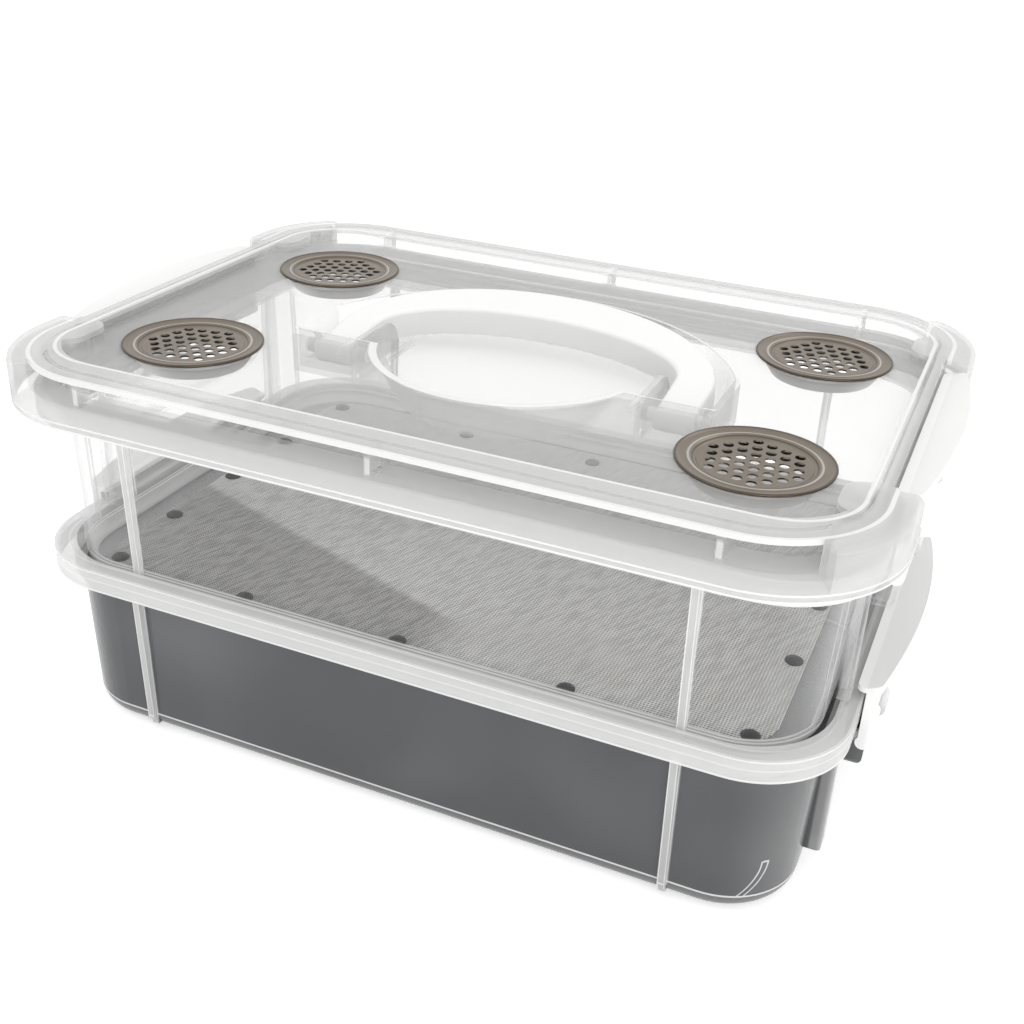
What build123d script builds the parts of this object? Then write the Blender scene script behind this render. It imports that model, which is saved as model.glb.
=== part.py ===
from build123d import *
from math import atan, degrees, sqrt
import os

# A two-tier mealworm breeding box: a sifting tray with a mesh floor stands in the mouth of
# a deeper box, under a clipped lid with four round steel vents and a folding carry handle.
# Frame: X along the long side, Y from front to back, Z up, zero at the middle of the
# lower box's underside. All sizes are in millimetres.

# Tub moulding, shared by the lower box and the upper tray
tub_height = 83.5
rim_length = 355.2
rim_width = 249.4
rim_corner = 39.0
rim_overhang = 5.9
rim_thickness = 2.0
rim_skirt_depth = 9.5
rim_skirt_wall = 1.8
mouth_depth = 10.5
mouth_corner = 37.5
mouth_step = 3.1
tub_wall = 1.8
tub_draft = 2.65
tub_floor = 2.0
tub_floor_corner = 32.0
tub_floor_radius = 9.0
tub_inner_radius = 4.5

# Stacking: how far a tub sinks into the mouth below, and the gap left at each seat
nest_depth = 10.2
seat_gap = 0.3

# Guide fins on the long walls, which centre a tub in the mouth below
fin_end_reach = 45.65
fin_thickness = 3.2
fin_foot = 2.8
fin_point = 5.0
fin_mouth_clearance = 1.2

# Stop pillars on the end walls, which stand on the rim below
pillar_inner_face = 62.0
pillar_width = 10.0
pillar_stand = 6.7
pillar_wall = 1.8
pillar_corner = 2.0

# Latch hinge on each end of a tub: two lugs with bores over a hanging trough
hinge_drop = 19.5
hinge_stand = 2.8
hinge_spacing = 70.0
lug_width = 12.0
lug_radius = 4.5
trough_half_width = 54.0
trough_drop = 22.5
trough_wall = 2.0
trough_radius = 6.0
trough_face_stand = 0.2

# Mesh floor of the upper tray, set in from the tub's floor and lapped over its window
mesh_end_margin = 14.45
mesh_side_margin = 6.55
mesh_end_lap = 13.5
mesh_side_lap = 16.5
mesh_window_corner = 12.0
mesh_corner = 20.0
mesh_thickness = 0.8
rivet_end_inset = 5.0
rivet_front_inset = 4.0
rivet_back_inset = 11.0
rivet_corner_inset = 3.5
rivets_per_side = 5
rivet_shift_front = -2.5
rivet_shift_back = 8.0
rivet_shift_left = -7.0
rivet_shift_right = 6.0
rivet_head_radius = 3.8
rivet_head_height = 2.0
rivet_shank_radius = 1.6
rivet_tail_radius = 2.9
rivet_tail_height = 1.2
rivet_clearance = 0.15

# Tray floor beads, one round each corner of the lower box
bead_inset = 14.0
bead_width = 1.8
bead_height = 1.0
bead_leg = 22.0

# Lid: beaded skirt, flared shoulder, wall that plugs the mouth, border and sunk panel
lid_end_overhang = 7.6
lid_side_overhang = 12.9
lid_corner = 52.0
lid_wall = 2.2
lid_bead_drop = 2.5
lid_bead_height = 3.3
lid_flare_run = 7.0
lid_shoulder_rise = 4.9
seat_rib_inset = 3.9
rim_clearance = 1.0
plug_clearance = 1.0
plug_depth = 4.0
border_rise = 16.8
border_thickness = 2.2
border_end_inset = 9.2
border_corner = 44.0
groove_inset = 7.0
groove_width = 1.2
groove_depth = 0.7
panel_sink = 5.5
panel_thickness = 2.2
end_ridge = 4.7
gusset_end_reach = 56.2
gusset_thickness = 3.0
block_reach = 25.2
block_sweep = 9.0
block_notch_round = 4.0
block_top_round = 3.0
pad_reach = 27.2
pad_length = 27.0
pad_corner = 9.0
notch_half_width = 71.0
notch_floor_rise = 8.8
notch_edge_inset = 0.4

# Handle, folded back into its recess and tilted up on its pins
handle_half_width = 88.5
handle_leg_width = 17.5
handle_shoulder = 20.0
handle_crown = 57.0
handle_inner_shoulder = 24.0
handle_inner_crown = 30.0
handle_tilt = 10.0
handle_above = 4.8
handle_below = 5.8
grip_below = 9.0
grip_drop_start = 12.0
grip_drop_end = 34.0
handle_boss_radius = 6.2
handle_edge_round = 2.0
handle_wall = 2.6
handle_pivot_y = -14.0
handle_pivot_drop = 10.4
handle_pin_radius = 3.0
handle_pin_fit = 0.05

# Handle recess with its cheeks and bosses, and the finger well in the lid
recess_back_gap = 14.8
recess_centre_y = -23.0
recess_side_gap = 7.0
recess_front_y = -22.0
recess_depth = 18.0
recess_wall = 2.0
cheek_gap = 3.5
cheek_thickness = 2.7
cheek_back_y = 15.0
cheek_drop = 0.6
cheek_round = 12.0
boss_gap = 2.5
boss_radius = 6.0
bore_run_out = 1.0
well_radius = 59.0
well_slope = 11.0
well_centre_y = -1.5

# Round steel vents
vent_end_reach = 62.0
vent_side_reach = 75.8
vent_flange_radius = 30.0
vent_sheet = 0.7
vent_roll = 0.5
vent_bead_radius = 24.5
vent_bead_width = 1.6
vent_bead_height = 0.7
vent_dish = 1.0
vent_hole_radius = 2.1
vent_hole_pitch = 6.2
vent_hole_rows = 3
vent_hole_sides = 8
vent_collar_radius = 26.5
vent_collar_foot = 22.5
vent_collar_wall = 0.7
vent_collar_depth = 8.0
vent_hole_clearance = 0.5
vent_turns = {"front_left": 12.0, "front_right": 40.0, "back_left": 25.0, "back_right": 52.0}

# Latches
latch_end_gap = 3.5
latch_web_gap = 0.7
latch_web = 3.6
latch_web_flare = 1.2
latch_plate = 2.2
latch_catch = 2.6
latch_catch_gap = 1.1
latch_tab = 6.4
latch_tab_bulge = 6.8
latch_tab_rise = 5.6
latch_barrel_radius = 2.9
latch_rod_radius = 2.2
latch_rod_fit = 0.05
latch_slot_gap = 1.0
latch_corner = 3.0
tray_ledge = 1.8

# Places worked out from the sizes above
tray_base = tub_height - nest_depth
tray_rim_top = tray_base + tub_height
mouth_floor = tub_height - mouth_depth
mouth_length = rim_length - 2 * rim_overhang
mouth_width = rim_width - 2 * rim_overhang
floor_length = mouth_length - 2 * mouth_step - 2 * tub_draft
floor_width = mouth_width - 2 * mouth_step - 2 * tub_draft
draft_angle = degrees(atan(tub_draft / mouth_floor))
fin_x = floor_length / 2 - fin_end_reach
hinge_x = rim_length / 2 + hinge_stand
mesh_length = floor_length - 2 * mesh_end_margin
mesh_width = floor_width - 2 * mesh_side_margin
lid_length = rim_length + 2 * lid_end_overhang
lid_width = rim_width + 2 * lid_side_overhang
lid_seat = tray_rim_top + seat_gap
bead_top = lid_seat - lid_bead_drop + lid_bead_height
shoulder_top = lid_seat + lid_shoulder_rise
border_top = lid_seat + border_rise
border_base = border_top - border_thickness
border_length = lid_length - 2 * border_end_inset
border_width = lid_width - 2 * lid_flare_run
block_start = lid_length / 2 - block_reach
gusset_x = lid_length / 2 - gusset_end_reach
vent_x = lid_length / 2 - vent_end_reach
vent_y = lid_width / 2 - vent_side_reach
panel_top = border_top - panel_sink
panel_base = panel_top - panel_thickness
plug_length = mouth_length - 2 * tub_wall - 2 * plug_clearance
plug_width = mouth_width - 2 * tub_wall - 2 * plug_clearance
plug_corner = mouth_corner - tub_wall - plug_clearance
ridge_edge = plug_length / 2 + end_ridge
catch_edge = rim_length / 2 - notch_edge_inset
catch_top = lid_seat + notch_floor_rise
tray_ledge_top = tub_height + seat_gap + tray_ledge
pivot_z = panel_top - handle_pivot_drop
recess_radius = handle_half_width + recess_back_gap
recess_half_width = handle_half_width + recess_side_gap
leg_inner = handle_half_width - handle_leg_width
cheek_outer = leg_inner - cheek_gap
boss_face = handle_half_width + boss_gap
recess_floor = panel_top - recess_depth
latch_length = 2 * (notch_half_width - latch_end_gap)
far = 2 * lid_length


def slab(length, width, corner, low, high):
    """A plate with rounded corners between two heights."""
    return extrude(Pos(0, 0, low) * RectangleRounded(length, width, corner), high - low)


def band(length, width, corner, wall, low, high):
    """A wall that runs round a rounded rectangle, measured over its outside."""
    inner = slab(length - 2 * wall, width - 2 * wall, corner - wall, low, high)
    return slab(length, width, corner, low, high) - inner


def block(x_low, x_high, y_low, y_high, z_low, z_high):
    """A plain block between six planes, for cuts and for flat-sided lands."""
    size = (x_high - x_low, y_high - y_low, z_high - z_low)
    middle = ((x_low + x_high) / 2, (y_low + y_high) / 2, (z_low + z_high) / 2)
    return Pos(*middle) * Box(*size)


def both_ends(piece):
    """The piece and its mirror image at the other short end."""
    return [piece, mirror(piece, about=Plane.YZ)]


def both_sides(piece):
    """The piece and its mirror image on the other long side."""
    return [piece, mirror(piece, about=Plane.XZ)]


def four_ways(piece):
    """The piece at all four corners."""
    return [copy for half in both_ends(piece) for copy in both_sides(half)]


def side_profile(points, x_low, x_high):
    """A closed outline of (y, z) points carried along X."""
    face = make_face(Polyline(*[(0, y, z) for y, z in points], close=True))
    return Pos(x_low, 0, 0) * extrude(face, x_high - x_low, dir=(1, 0, 0))


def end_profile(points, y_low, y_high):
    """A closed outline of (x, z) points carried along Y."""
    face = make_face(Polyline(*[(x, 0, z) for x, z in points], close=True))
    return Pos(0, y_low, 0) * extrude(face, y_high - y_low, dir=(0, 1, 0))


def tub_form(inset, base, edge_radius):
    """The drafted outside or inside form of a tub's body, with its rounded floor edge."""
    lean = tub_draft * base / mouth_floor
    length = floor_length + 2 * lean - 2 * inset
    width = floor_width + 2 * lean - 2 * inset
    corner = tub_floor_corner + lean - inset
    outline = Pos(0, 0, base) * RectangleRounded(length, width, corner)
    form = extrude(outline, mouth_floor - base, taper=-draft_angle)
    edges = form.faces().sort_by(Axis.Z)[0].edges()
    return fillet(edges, edge_radius)


def tub_wall_half(height):
    """Half length of a tub's body outside at a height above its base."""
    return floor_length / 2 + tub_draft * height / mouth_floor


def tub_fin():
    """One guide fin on the front wall, pointed at its foot."""
    wall_y = floor_width / 2
    foot_y = mouth_width / 2 - tub_wall - fin_mouth_clearance
    top_y = mouth_width / 2
    top_z = mouth_floor - tub_wall / 2
    inside = wall_y - tub_floor_radius
    outline = [(-inside, fin_foot), (-wall_y, fin_foot), (-foot_y, fin_foot + fin_point),
               (-foot_y, nest_depth), (-top_y, top_z), (-inside, top_z)]
    return side_profile(outline, fin_x - fin_thickness / 2, fin_x + fin_thickness / 2)


def tub_pillar(inset):
    """One hollow stop pillar at the right end, behind the latch, or its inside."""
    outer_x = tub_wall_half(nest_depth) + pillar_stand - inset
    low_y = pillar_inner_face + inset
    high_y = pillar_inner_face + pillar_width - inset
    inner_x = floor_length / 2 - tub_floor_radius
    middle = ((inner_x + outer_x) / 2, (low_y + high_y) / 2, nest_depth + seat_gap)
    corner = pillar_corner - inset / 2
    outline = RectangleRounded(outer_x - inner_x, high_y - low_y, corner)
    top = tub_height - rim_thickness - inset
    return Pos(*middle) * extrude(outline, top - nest_depth - seat_gap)


def tub_pillar_mouth():
    """The open foot of a pillar's hollow."""
    low = nest_depth + seat_gap
    inner_x = floor_length / 2 - tub_floor_radius
    outer_x = tub_wall_half(nest_depth) + pillar_stand - pillar_wall
    return block(inner_x, outer_x, pillar_inner_face + pillar_wall,
                 pillar_inner_face + pillar_width - pillar_wall, low - pillar_wall, low + 2 * pillar_wall)


def hinge_trough(inset):
    """The hanging trough under the latch hinge, or its inside."""
    outer_x = hinge_x + trough_face_stand - inset
    inner_x = floor_length / 2 - tub_floor_radius
    low = tub_height - hinge_drop - trough_drop + inset
    high = tub_height - hinge_drop - lug_radius
    half = trough_half_width - inset
    body = block(inner_x, outer_x, -half, half, low, high)
    bottom = body.faces().sort_by(Axis.Z)[0]
    outer_edge = bottom.edges().filter_by(Axis.Y).sort_by(Axis.X)[-1:]
    end_edges = bottom.edges().filter_by(Axis.X)
    return fillet(outer_edge + end_edges, trough_radius - inset)


def hinge_lugs():
    """Two bored lugs that carry the latch rod, at the right end."""
    level = tub_height - hinge_drop
    lugs = []
    for side in (-1, 1):
        low = side * hinge_spacing / 2 - lug_width / 2
        knuckle = Pos(hinge_x, low + lug_width / 2, level) * Rot(90, 0, 0) * Cylinder(lug_radius, lug_width)
        root = block(floor_length / 2, hinge_x, low, low + lug_width,
                     level - lug_radius, level + lug_radius)
        lugs.append(knuckle + root)
    return lugs


def hinge_bore():
    """The bore through both lugs, a running fit on the latch rod."""
    level = tub_height - hinge_drop
    radius = latch_rod_radius + latch_rod_fit
    return Pos(hinge_x, 0, level) * Rot(90, 0, 0) * Cylinder(radius, hinge_spacing + 2 * lug_width)


def tub_hinge(outside):
    """The bored lugs and the hollow trough at the right end."""
    open_top = tub_height - hinge_drop
    inside = hinge_trough(trough_wall)
    inside += block(floor_length / 2 - tub_floor_radius, hinge_x + trough_face_stand - trough_wall,
                    trough_wall - trough_half_width, trough_half_width - trough_wall,
                    open_top - lug_radius - trough_wall, open_top)
    trough = hinge_trough(0) - (inside - outside)
    return trough + hinge_lugs() - hinge_bore()


def make_tub():
    """The open tub with its rim, fins, pillars and latch hinges, standing on z = 0."""
    outside = tub_form(0, 0, tub_floor_radius)
    outside += slab(mouth_length, mouth_width, mouth_corner, mouth_floor - tub_wall, tub_height)
    tub = outside + slab(rim_length, rim_width, rim_corner, tub_height - rim_thickness, tub_height)
    tub += band(rim_length, rim_width, rim_corner, rim_skirt_wall,
                tub_height - rim_skirt_depth, tub_height - rim_thickness)
    tub += four_ways(tub_fin())
    pillar = tub_pillar(0) - (tub_pillar(pillar_wall) - outside)
    pillar -= tub_pillar_mouth() - outside
    tub += four_ways(pillar)
    tub += both_ends(tub_hinge(outside))
    tub -= slab(mouth_length - 2 * tub_wall, mouth_width - 2 * tub_wall, mouth_corner - tub_wall,
                mouth_floor, tub_height + tub_wall)
    return tub - tub_form(tub_wall, tub_floor, tub_inner_radius)


def corner_bead():
    """One low bead round the front right corner of the lower box's floor."""
    length = floor_length - 2 * bead_inset
    width = floor_width - 2 * bead_inset
    corner = tub_floor_corner - bead_inset
    top = tub_floor + bead_height
    ring = band(length, width, corner, bead_width, tub_floor, top)
    x_start = length / 2 - corner - bead_leg
    y_start = width / 2 - corner - bead_leg
    return ring & block(x_start, far, -far, -y_start, tub_floor, top)


def make_lower_box():
    """The deep box that catches what falls through the mesh."""
    return make_tub() + four_ways(corner_bead())


def catch_ledge():
    """The ledge on the tray's right end wall that the lower latch holds down."""
    low = nest_depth + seat_gap
    inner = tub_wall_half(low) - tub_wall / 2
    half = pillar_inner_face + pillar_wall / 2
    return block(inner, catch_edge, -half, half, low, low + tray_ledge)


def make_upper_tray():
    """The sifting tray: the same tub with catch ledges, its floor cut out and pierced."""
    tray = make_tub() + both_ends(catch_ledge())
    tray -= tub_form(tub_wall, tub_floor, tub_inner_radius)
    tray -= slab(mesh_length - 2 * mesh_end_lap, mesh_width - 2 * mesh_side_lap, mesh_window_corner,
                 -tub_floor, 2 * tub_floor)
    shank = rivet_shank_radius + rivet_clearance
    tray -= [Pos(x, y, 0) * Cylinder(shank, 4 * tub_floor) for x, y in rivet_places()]
    return Pos(0, 0, tray_base) * tray


def rivet_places():
    """Centres of the rivets: one at each corner, and evenly along each side but for its shift."""
    end_x = mesh_length / 2 - rivet_end_inset
    front_y = rivet_front_inset - mesh_width / 2
    back_y = mesh_width / 2 - rivet_back_inset
    corner_x = end_x - rivet_corner_inset
    places = [(x, y) for x in (-corner_x, corner_x) for y in (front_y + rivet_corner_inset, back_y)]
    for i in range(1, rivets_per_side - 1):
        step = i / (rivets_per_side - 1) - 0.5
        places.append((2 * step * end_x + rivet_shift_front, front_y))
        places.append((2 * step * end_x + rivet_shift_back, back_y))
        places.append((-end_x, 2 * step * back_y + rivet_shift_left))
        places.append((end_x, 2 * step * back_y + rivet_shift_right))
    return places


def make_mesh_floor():
    """The woven floor as a thin sheet, pierced where the rivets pass."""
    base = tray_base + tub_floor
    sheet = slab(mesh_length, mesh_width, mesh_corner, base, base + mesh_thickness)
    shank = rivet_shank_radius + rivet_clearance
    return sheet - [Pos(x, y, base) * Cylinder(shank, 4 * tub_floor) for x, y in rivet_places()]


def make_rivet():
    """A domed black rivet with its shank and flattened tail, standing on z = 0."""
    tail = -tub_floor - mesh_thickness
    head_rim = rivet_head_height / 4
    shank = Pos(0, 0, tail / 2) * Cylinder(rivet_shank_radius, -tail)
    foot = Pos(0, 0, tail - rivet_tail_height / 2) * Cylinder(rivet_tail_radius, rivet_tail_height)
    dome = TangentArc((0, rivet_head_height), (rivet_head_radius, head_rim), tangent=(1, 0))
    sides = Polyline((rivet_head_radius, head_rim), (rivet_head_radius, 0), (0, 0), (0, rivet_head_height))
    head = revolve(Plane.XZ * make_face([dome, sides]), Axis.Z)
    return head + shank + foot


def make_rivets():
    """All the rivets of the mesh, as separate solids."""
    level = tray_base + tub_floor + mesh_thickness
    rivet = make_rivet()
    return Compound(children=[Pos(x, y, level) * rivet for x, y in rivet_places()])


def skirt_form(inset, low):
    """The lid's skirt and flared shoulder as one form, or its inside."""
    length = lid_length - 2 * inset
    width = lid_width - 2 * inset
    corner = lid_corner - inset
    run = lid_flare_run + inset / 2
    top = Pos(0, 0, shoulder_top - inset)
    upper = top * RectangleRounded(lid_length - 2 * run, lid_width - 2 * run, lid_corner - run)
    lower = Pos(0, 0, bead_top) * RectangleRounded(length, width, corner)
    return slab(length, width, corner, low, bead_top) + loft([lower, upper], ruled=True)


def end_zone(edge, half, low, high):
    """What lies within a latch notch's width up to an edge, at both ends."""
    return block(-edge, edge, -half, half, low, high)


def corner_plan(inset):
    """Plan of the full-height block at the front right corner, or of its hollow."""
    outline = RectangleRounded(lid_length - 2 * inset, lid_width - 2 * inset, lid_corner - inset)
    middle = (block_start + inset + far / 2, -notch_half_width - inset - far / 2)
    plan = outline & (Pos(*middle) * Rectangle(far, far))
    return plan - Pos(block_start - block_sweep, -lid_width / 2) * Circle(2 * block_sweep + inset)


def corner_block():
    """The block at the front right corner, rounded at the notch and along its top edge."""
    plan = corner_plan(0)
    notch_corner = plan.vertices().group_by(Axis.Y)[-1].sort_by(Axis.X)[-1:]
    plan = fillet(notch_corner, block_notch_round)
    form = extrude(Pos(0, 0, lid_seat) * plan, border_top - lid_seat)
    outer = form.faces().sort_by(Axis.Z)[-1].edges().sort_by(Axis.X)[-3:]
    return fillet(outer, block_top_round)


def block_hollow():
    """The block's inside, open to the skirt below."""
    low = shoulder_top - 2 * lid_wall
    return extrude(Pos(0, 0, low) * corner_plan(lid_wall), border_base - low)


def corner_pad():
    """The solid pad inside the border beside the front right end of the notch."""
    start = lid_length / 2 - pad_reach
    pad = block(start, plug_length / 2 - lid_wall / 2, -notch_half_width - pad_length,
                -notch_half_width, panel_top - panel_thickness / 2, border_top)
    inner = pad.edges().filter_by(Axis.Z).sort_by(Axis.X)[:2]
    return fillet(inner, pad_corner)


def lid_gussets():
    """Upright ribs between the shoulder and the border, front and back."""
    half = gusset_thickness / 2
    ribs = []
    for x in (-gusset_x, 0, gusset_x):
        rib = block(x - half, x + half, -border_width / 2, 0, shoulder_top - lid_wall / 2, border_base)
        ribs += both_sides(rib)
    return ribs


def lid_outside():
    """The lid as one full form, before it is hollowed."""
    bead_base = lid_seat - lid_bead_drop
    form = skirt_form(0, bead_base)
    form -= both_ends(block(catch_edge, far, -notch_half_width, notch_half_width, 0, far))
    form += end_zone(catch_edge, notch_half_width, lid_seat, catch_top)
    form += end_zone(ridge_edge, notch_half_width, lid_seat, border_top)
    form += four_ways(corner_block())
    border = slab(border_length, border_width, border_corner, border_base, border_top)
    border -= both_ends(block(ridge_edge, far, -notch_half_width, notch_half_width, 0, far))
    form += border
    form += slab(plug_length, plug_width, plug_corner, lid_seat - plug_depth, border_top)
    return form + lid_gussets()


def lid_hollows():
    """What is cored out from below, outside the plug wall."""
    low = lid_seat - plug_depth
    room = skirt_form(lid_wall, low)
    room -= end_zone(far, notch_half_width + lid_wall, low, far)
    room += four_ways(block_hollow())
    half = notch_half_width - lid_wall
    room += end_zone(catch_edge - lid_wall, half, low, catch_top - lid_wall)
    room += end_zone(ridge_edge - lid_wall, half, low, border_base)
    room += slab(rim_length + 2 * rim_clearance, rim_width + 2 * rim_clearance,
                 rim_corner + rim_clearance, low, lid_seat)
    return room - slab(plug_length, plug_width, plug_corner, low, far)


def seat_ribs(outside):
    """The rib that stands on the tray's rim all the way round."""
    length = rim_length - 2 * seat_rib_inset
    width = rim_width - 2 * seat_rib_inset
    ring = band(length, width, rim_corner - seat_rib_inset, lid_wall, lid_seat, border_base)
    return ring & outside


def border_groove():
    """The shallow groove that runs in the border along the front and the back."""
    ring = band(border_length - 2 * groove_inset, border_width - 2 * groove_inset,
                border_corner - groove_inset, groove_width, border_top - groove_depth, border_top)
    return ring & block(-block_start, block_start, -far, far, 0, far)


def lid_shell():
    """Skirt, wall, border and panel, hollow above and below the panel."""
    outside = lid_outside()
    inner = (plug_length - 2 * lid_wall, plug_width - 2 * lid_wall, plug_corner - lid_wall)
    shell = outside - lid_hollows()
    shell += seat_ribs(outside)
    shell -= slab(*inner, panel_top, border_top)
    shell += four_ways(corner_pad())
    shell -= slab(*inner, 0, panel_base)
    return shell - border_groove()


def recess_form(grow):
    """The handle's recess and the finger well as one hollow, or its outside when grown."""
    low = recess_floor - grow
    half = recess_half_width + grow
    plan = Pos(0, recess_centre_y) * Circle(recess_radius + grow)
    plan &= Pos(0, recess_front_y - grow + far / 2) * Rectangle(2 * half, far)
    form = extrude(Pos(0, 0, low) * plan, panel_top - low)
    well = Cone(well_radius - well_slope + grow, well_radius + grow, panel_top - low)
    return form + Pos(0, well_centre_y, (panel_top + low) / 2) * well


def pivot_cheek():
    """The thin wall on the inner side of the right leg, rounded at its back."""
    cheek = block(cheek_outer - cheek_thickness, cheek_outer, recess_front_y - recess_wall / 2, cheek_back_y,
                  recess_floor - recess_wall / 2, panel_top - cheek_drop)
    back = cheek.edges().filter_by(Axis.X).group_by(Axis.Z)[-1].sort_by(Axis.Y)[-1:]
    return fillet(back, cheek_round)


def pivot_boss():
    """The boss on the recess wall at the outer side of the right leg."""
    reach = recess_half_width + recess_wall / 2 - boss_face
    middle = boss_face + reach / 2
    return Pos(middle, handle_pivot_y, pivot_z) * Rot(0, 90, 0) * Cylinder(boss_radius, reach)


def pin_length(clearance):
    """How far a pin reaches from the lid's middle plane, given its end clearance."""
    return recess_half_width - clearance


def pivot_bore():
    """The bore through the right cheek and into the right boss."""
    inner = cheek_outer - cheek_thickness - bore_run_out
    outer = pin_length(0)
    bore = Cylinder(handle_pin_radius + handle_pin_fit, outer - inner)
    return Pos((inner + outer) / 2, handle_pivot_y, pivot_z) * Rot(0, 90, 0) * bore


def make_lid():
    """The lid moulding with its handle recess, finger well and vent holes."""
    lid = lid_shell() + recess_form(recess_wall) - recess_form(0)
    lid += both_ends(pivot_cheek()) + both_ends(pivot_boss())
    lid -= both_ends(pivot_bore())
    hole = vent_collar_radius + vent_hole_clearance
    return lid - [Pos(x, y, panel_top) * Cylinder(hole, 4 * panel_thickness) for x, y in vent_places().values()]


def vent_places():
    """Centre of each vent by its place on the lid."""
    return {"front_left": (-vent_x, -vent_y), "front_right": (vent_x, -vent_y),
            "back_left": (-vent_x, vent_y), "back_right": (vent_x, vent_y)}


def vent_hole_centres():
    """Hexagonal field of holes with a row more than vent_hole_rows each way from the middle."""
    centres = []
    rows = range(-vent_hole_rows, vent_hole_rows + 1)
    for row in rows:
        count = 2 * vent_hole_rows + 1 - abs(row)
        for i in range(count):
            x = (i - (count - 1) / 2) * vent_hole_pitch
            centres.append((x, row * vent_hole_pitch * sqrt(3) / 2))
    return centres


def make_vent_cap(turn):
    """A stamped steel disc: rolled edge, raised bead, dished and pierced middle."""
    low = 0
    bead_in = vent_bead_radius - vent_bead_width
    bead_out = vent_bead_radius + vent_bead_width
    top = vent_sheet
    upper = [(vent_flange_radius, low), (vent_flange_radius, top + vent_roll / 2),
             (vent_flange_radius - vent_roll, top + vent_roll), (vent_flange_radius - 2 * vent_roll, top),
             (bead_out, top), (vent_bead_radius, top + vent_bead_height), (bead_in, top),
             (bead_in - vent_bead_width, top - vent_dish), (0, top - vent_dish)]
    lower = [(0, -vent_dish), (bead_in - vent_bead_width, -vent_dish), (bead_in, low)]
    face = make_face(Plane.XZ * Polyline(*upper, *lower, close=True))
    disc = revolve(face, Axis.Z)
    hole = RegularPolygon(vent_hole_radius, vent_hole_sides)
    holes = [Pos(x, y, -2 * vent_dish) * extrude(hole, 4 * vent_dish) for x, y in vent_hole_centres()]
    return Rot(0, 0, turn) * (disc - holes)


def make_vent_collar():
    """The cup that centres a vent in its hole and tapers below the panel."""
    wall = vent_collar_wall
    outside = [(vent_collar_radius, 0), (vent_collar_radius, -panel_thickness), (vent_collar_foot, -vent_collar_depth)]
    inside = [(x - wall, z) for x, z in reversed(outside)]
    return revolve(make_face(Plane.XZ * Polyline(*outside, *inside, close=True)), Axis.Z)


def arch(half_width, shoulder, crown, front):
    """An arch in plan: two straight legs from the front that run into half an ellipse."""
    legs = Pos(0, (front + shoulder) / 2) * Rectangle(2 * half_width, shoulder - front)
    return legs + Pos(0, shoulder) * Ellipse(half_width, crown)


def handle_plan(inset):
    """Flat plan of the handle about its pivot: a grip that arches between two legs."""
    front = inset - handle_boss_radius
    outside = arch(handle_half_width - inset, handle_shoulder, handle_crown - inset, front)
    return outside - arch(leg_inner + inset, handle_inner_shoulder, handle_inner_crown + inset, -far)


def handle_side():
    """Side form of the handle: a round end about the pivot and a bar that deepens at the grip."""
    boss = Rot(0, 90, 0) * Cylinder(handle_boss_radius, far)
    boss &= block(-far, far, -far, far, -handle_below, handle_above)
    bar = [(0, handle_above), (far, handle_above), (far, -grip_below), (grip_drop_end, -grip_below),
           (grip_drop_start, -handle_below), (0, -handle_below)]
    return boss + side_profile(bar, -far / 2, far / 2)


def handle_hollow():
    """The underside's hollow, closed round the pivots."""
    depth = handle_above - handle_wall
    hollow = extrude(Pos(0, 0, -grip_below) * handle_plan(handle_wall), grip_below + depth)
    return hollow & block(-far, far, handle_boss_radius, far, -far, far)


def handle_pin():
    """The right-hand pin, from the cheek's far face through the leg into the boss."""
    inner = cheek_outer - cheek_thickness
    outer = pin_length(boss_gap / 2)
    pin = Cylinder(handle_pin_radius, outer - inner)
    return Pos((inner + outer) / 2, 0, 0) * Rot(0, 90, 0) * pin


def make_handle():
    """The carry handle with its two pins, folded back."""
    body = extrude(Pos(0, 0, -grip_below) * handle_plan(0), grip_below + handle_above)
    body = body & handle_side()
    top = body.faces().sort_by(Axis.Z)[-1]
    arcs = top.edges().sort_by(SortBy.LENGTH)[-2:]
    body = fillet(arcs, handle_edge_round)
    body = body - handle_hollow() + both_ends(handle_pin())
    return Pos(0, handle_pivot_y, pivot_z) * Rot(handle_tilt, 0, 0) * body


def latch_plan():
    """Plan of a latch: straight inner edge and bulging outer edge, rounded at the corners."""
    inner = catch_edge - latch_catch
    half = latch_length / 2
    shoulder = hinge_x + latch_tab - latch_tab_bulge / 2
    outer = hinge_x + latch_tab + latch_tab_bulge / 2
    edge = Polyline((shoulder, half), (inner, half), (inner, -half), (shoulder, -half))
    bulge = ThreePointArc((shoulder, -half), (outer, 0), (shoulder, half))
    face = make_face([edge, bulge])
    return fillet(face.vertices(), latch_corner)


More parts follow.
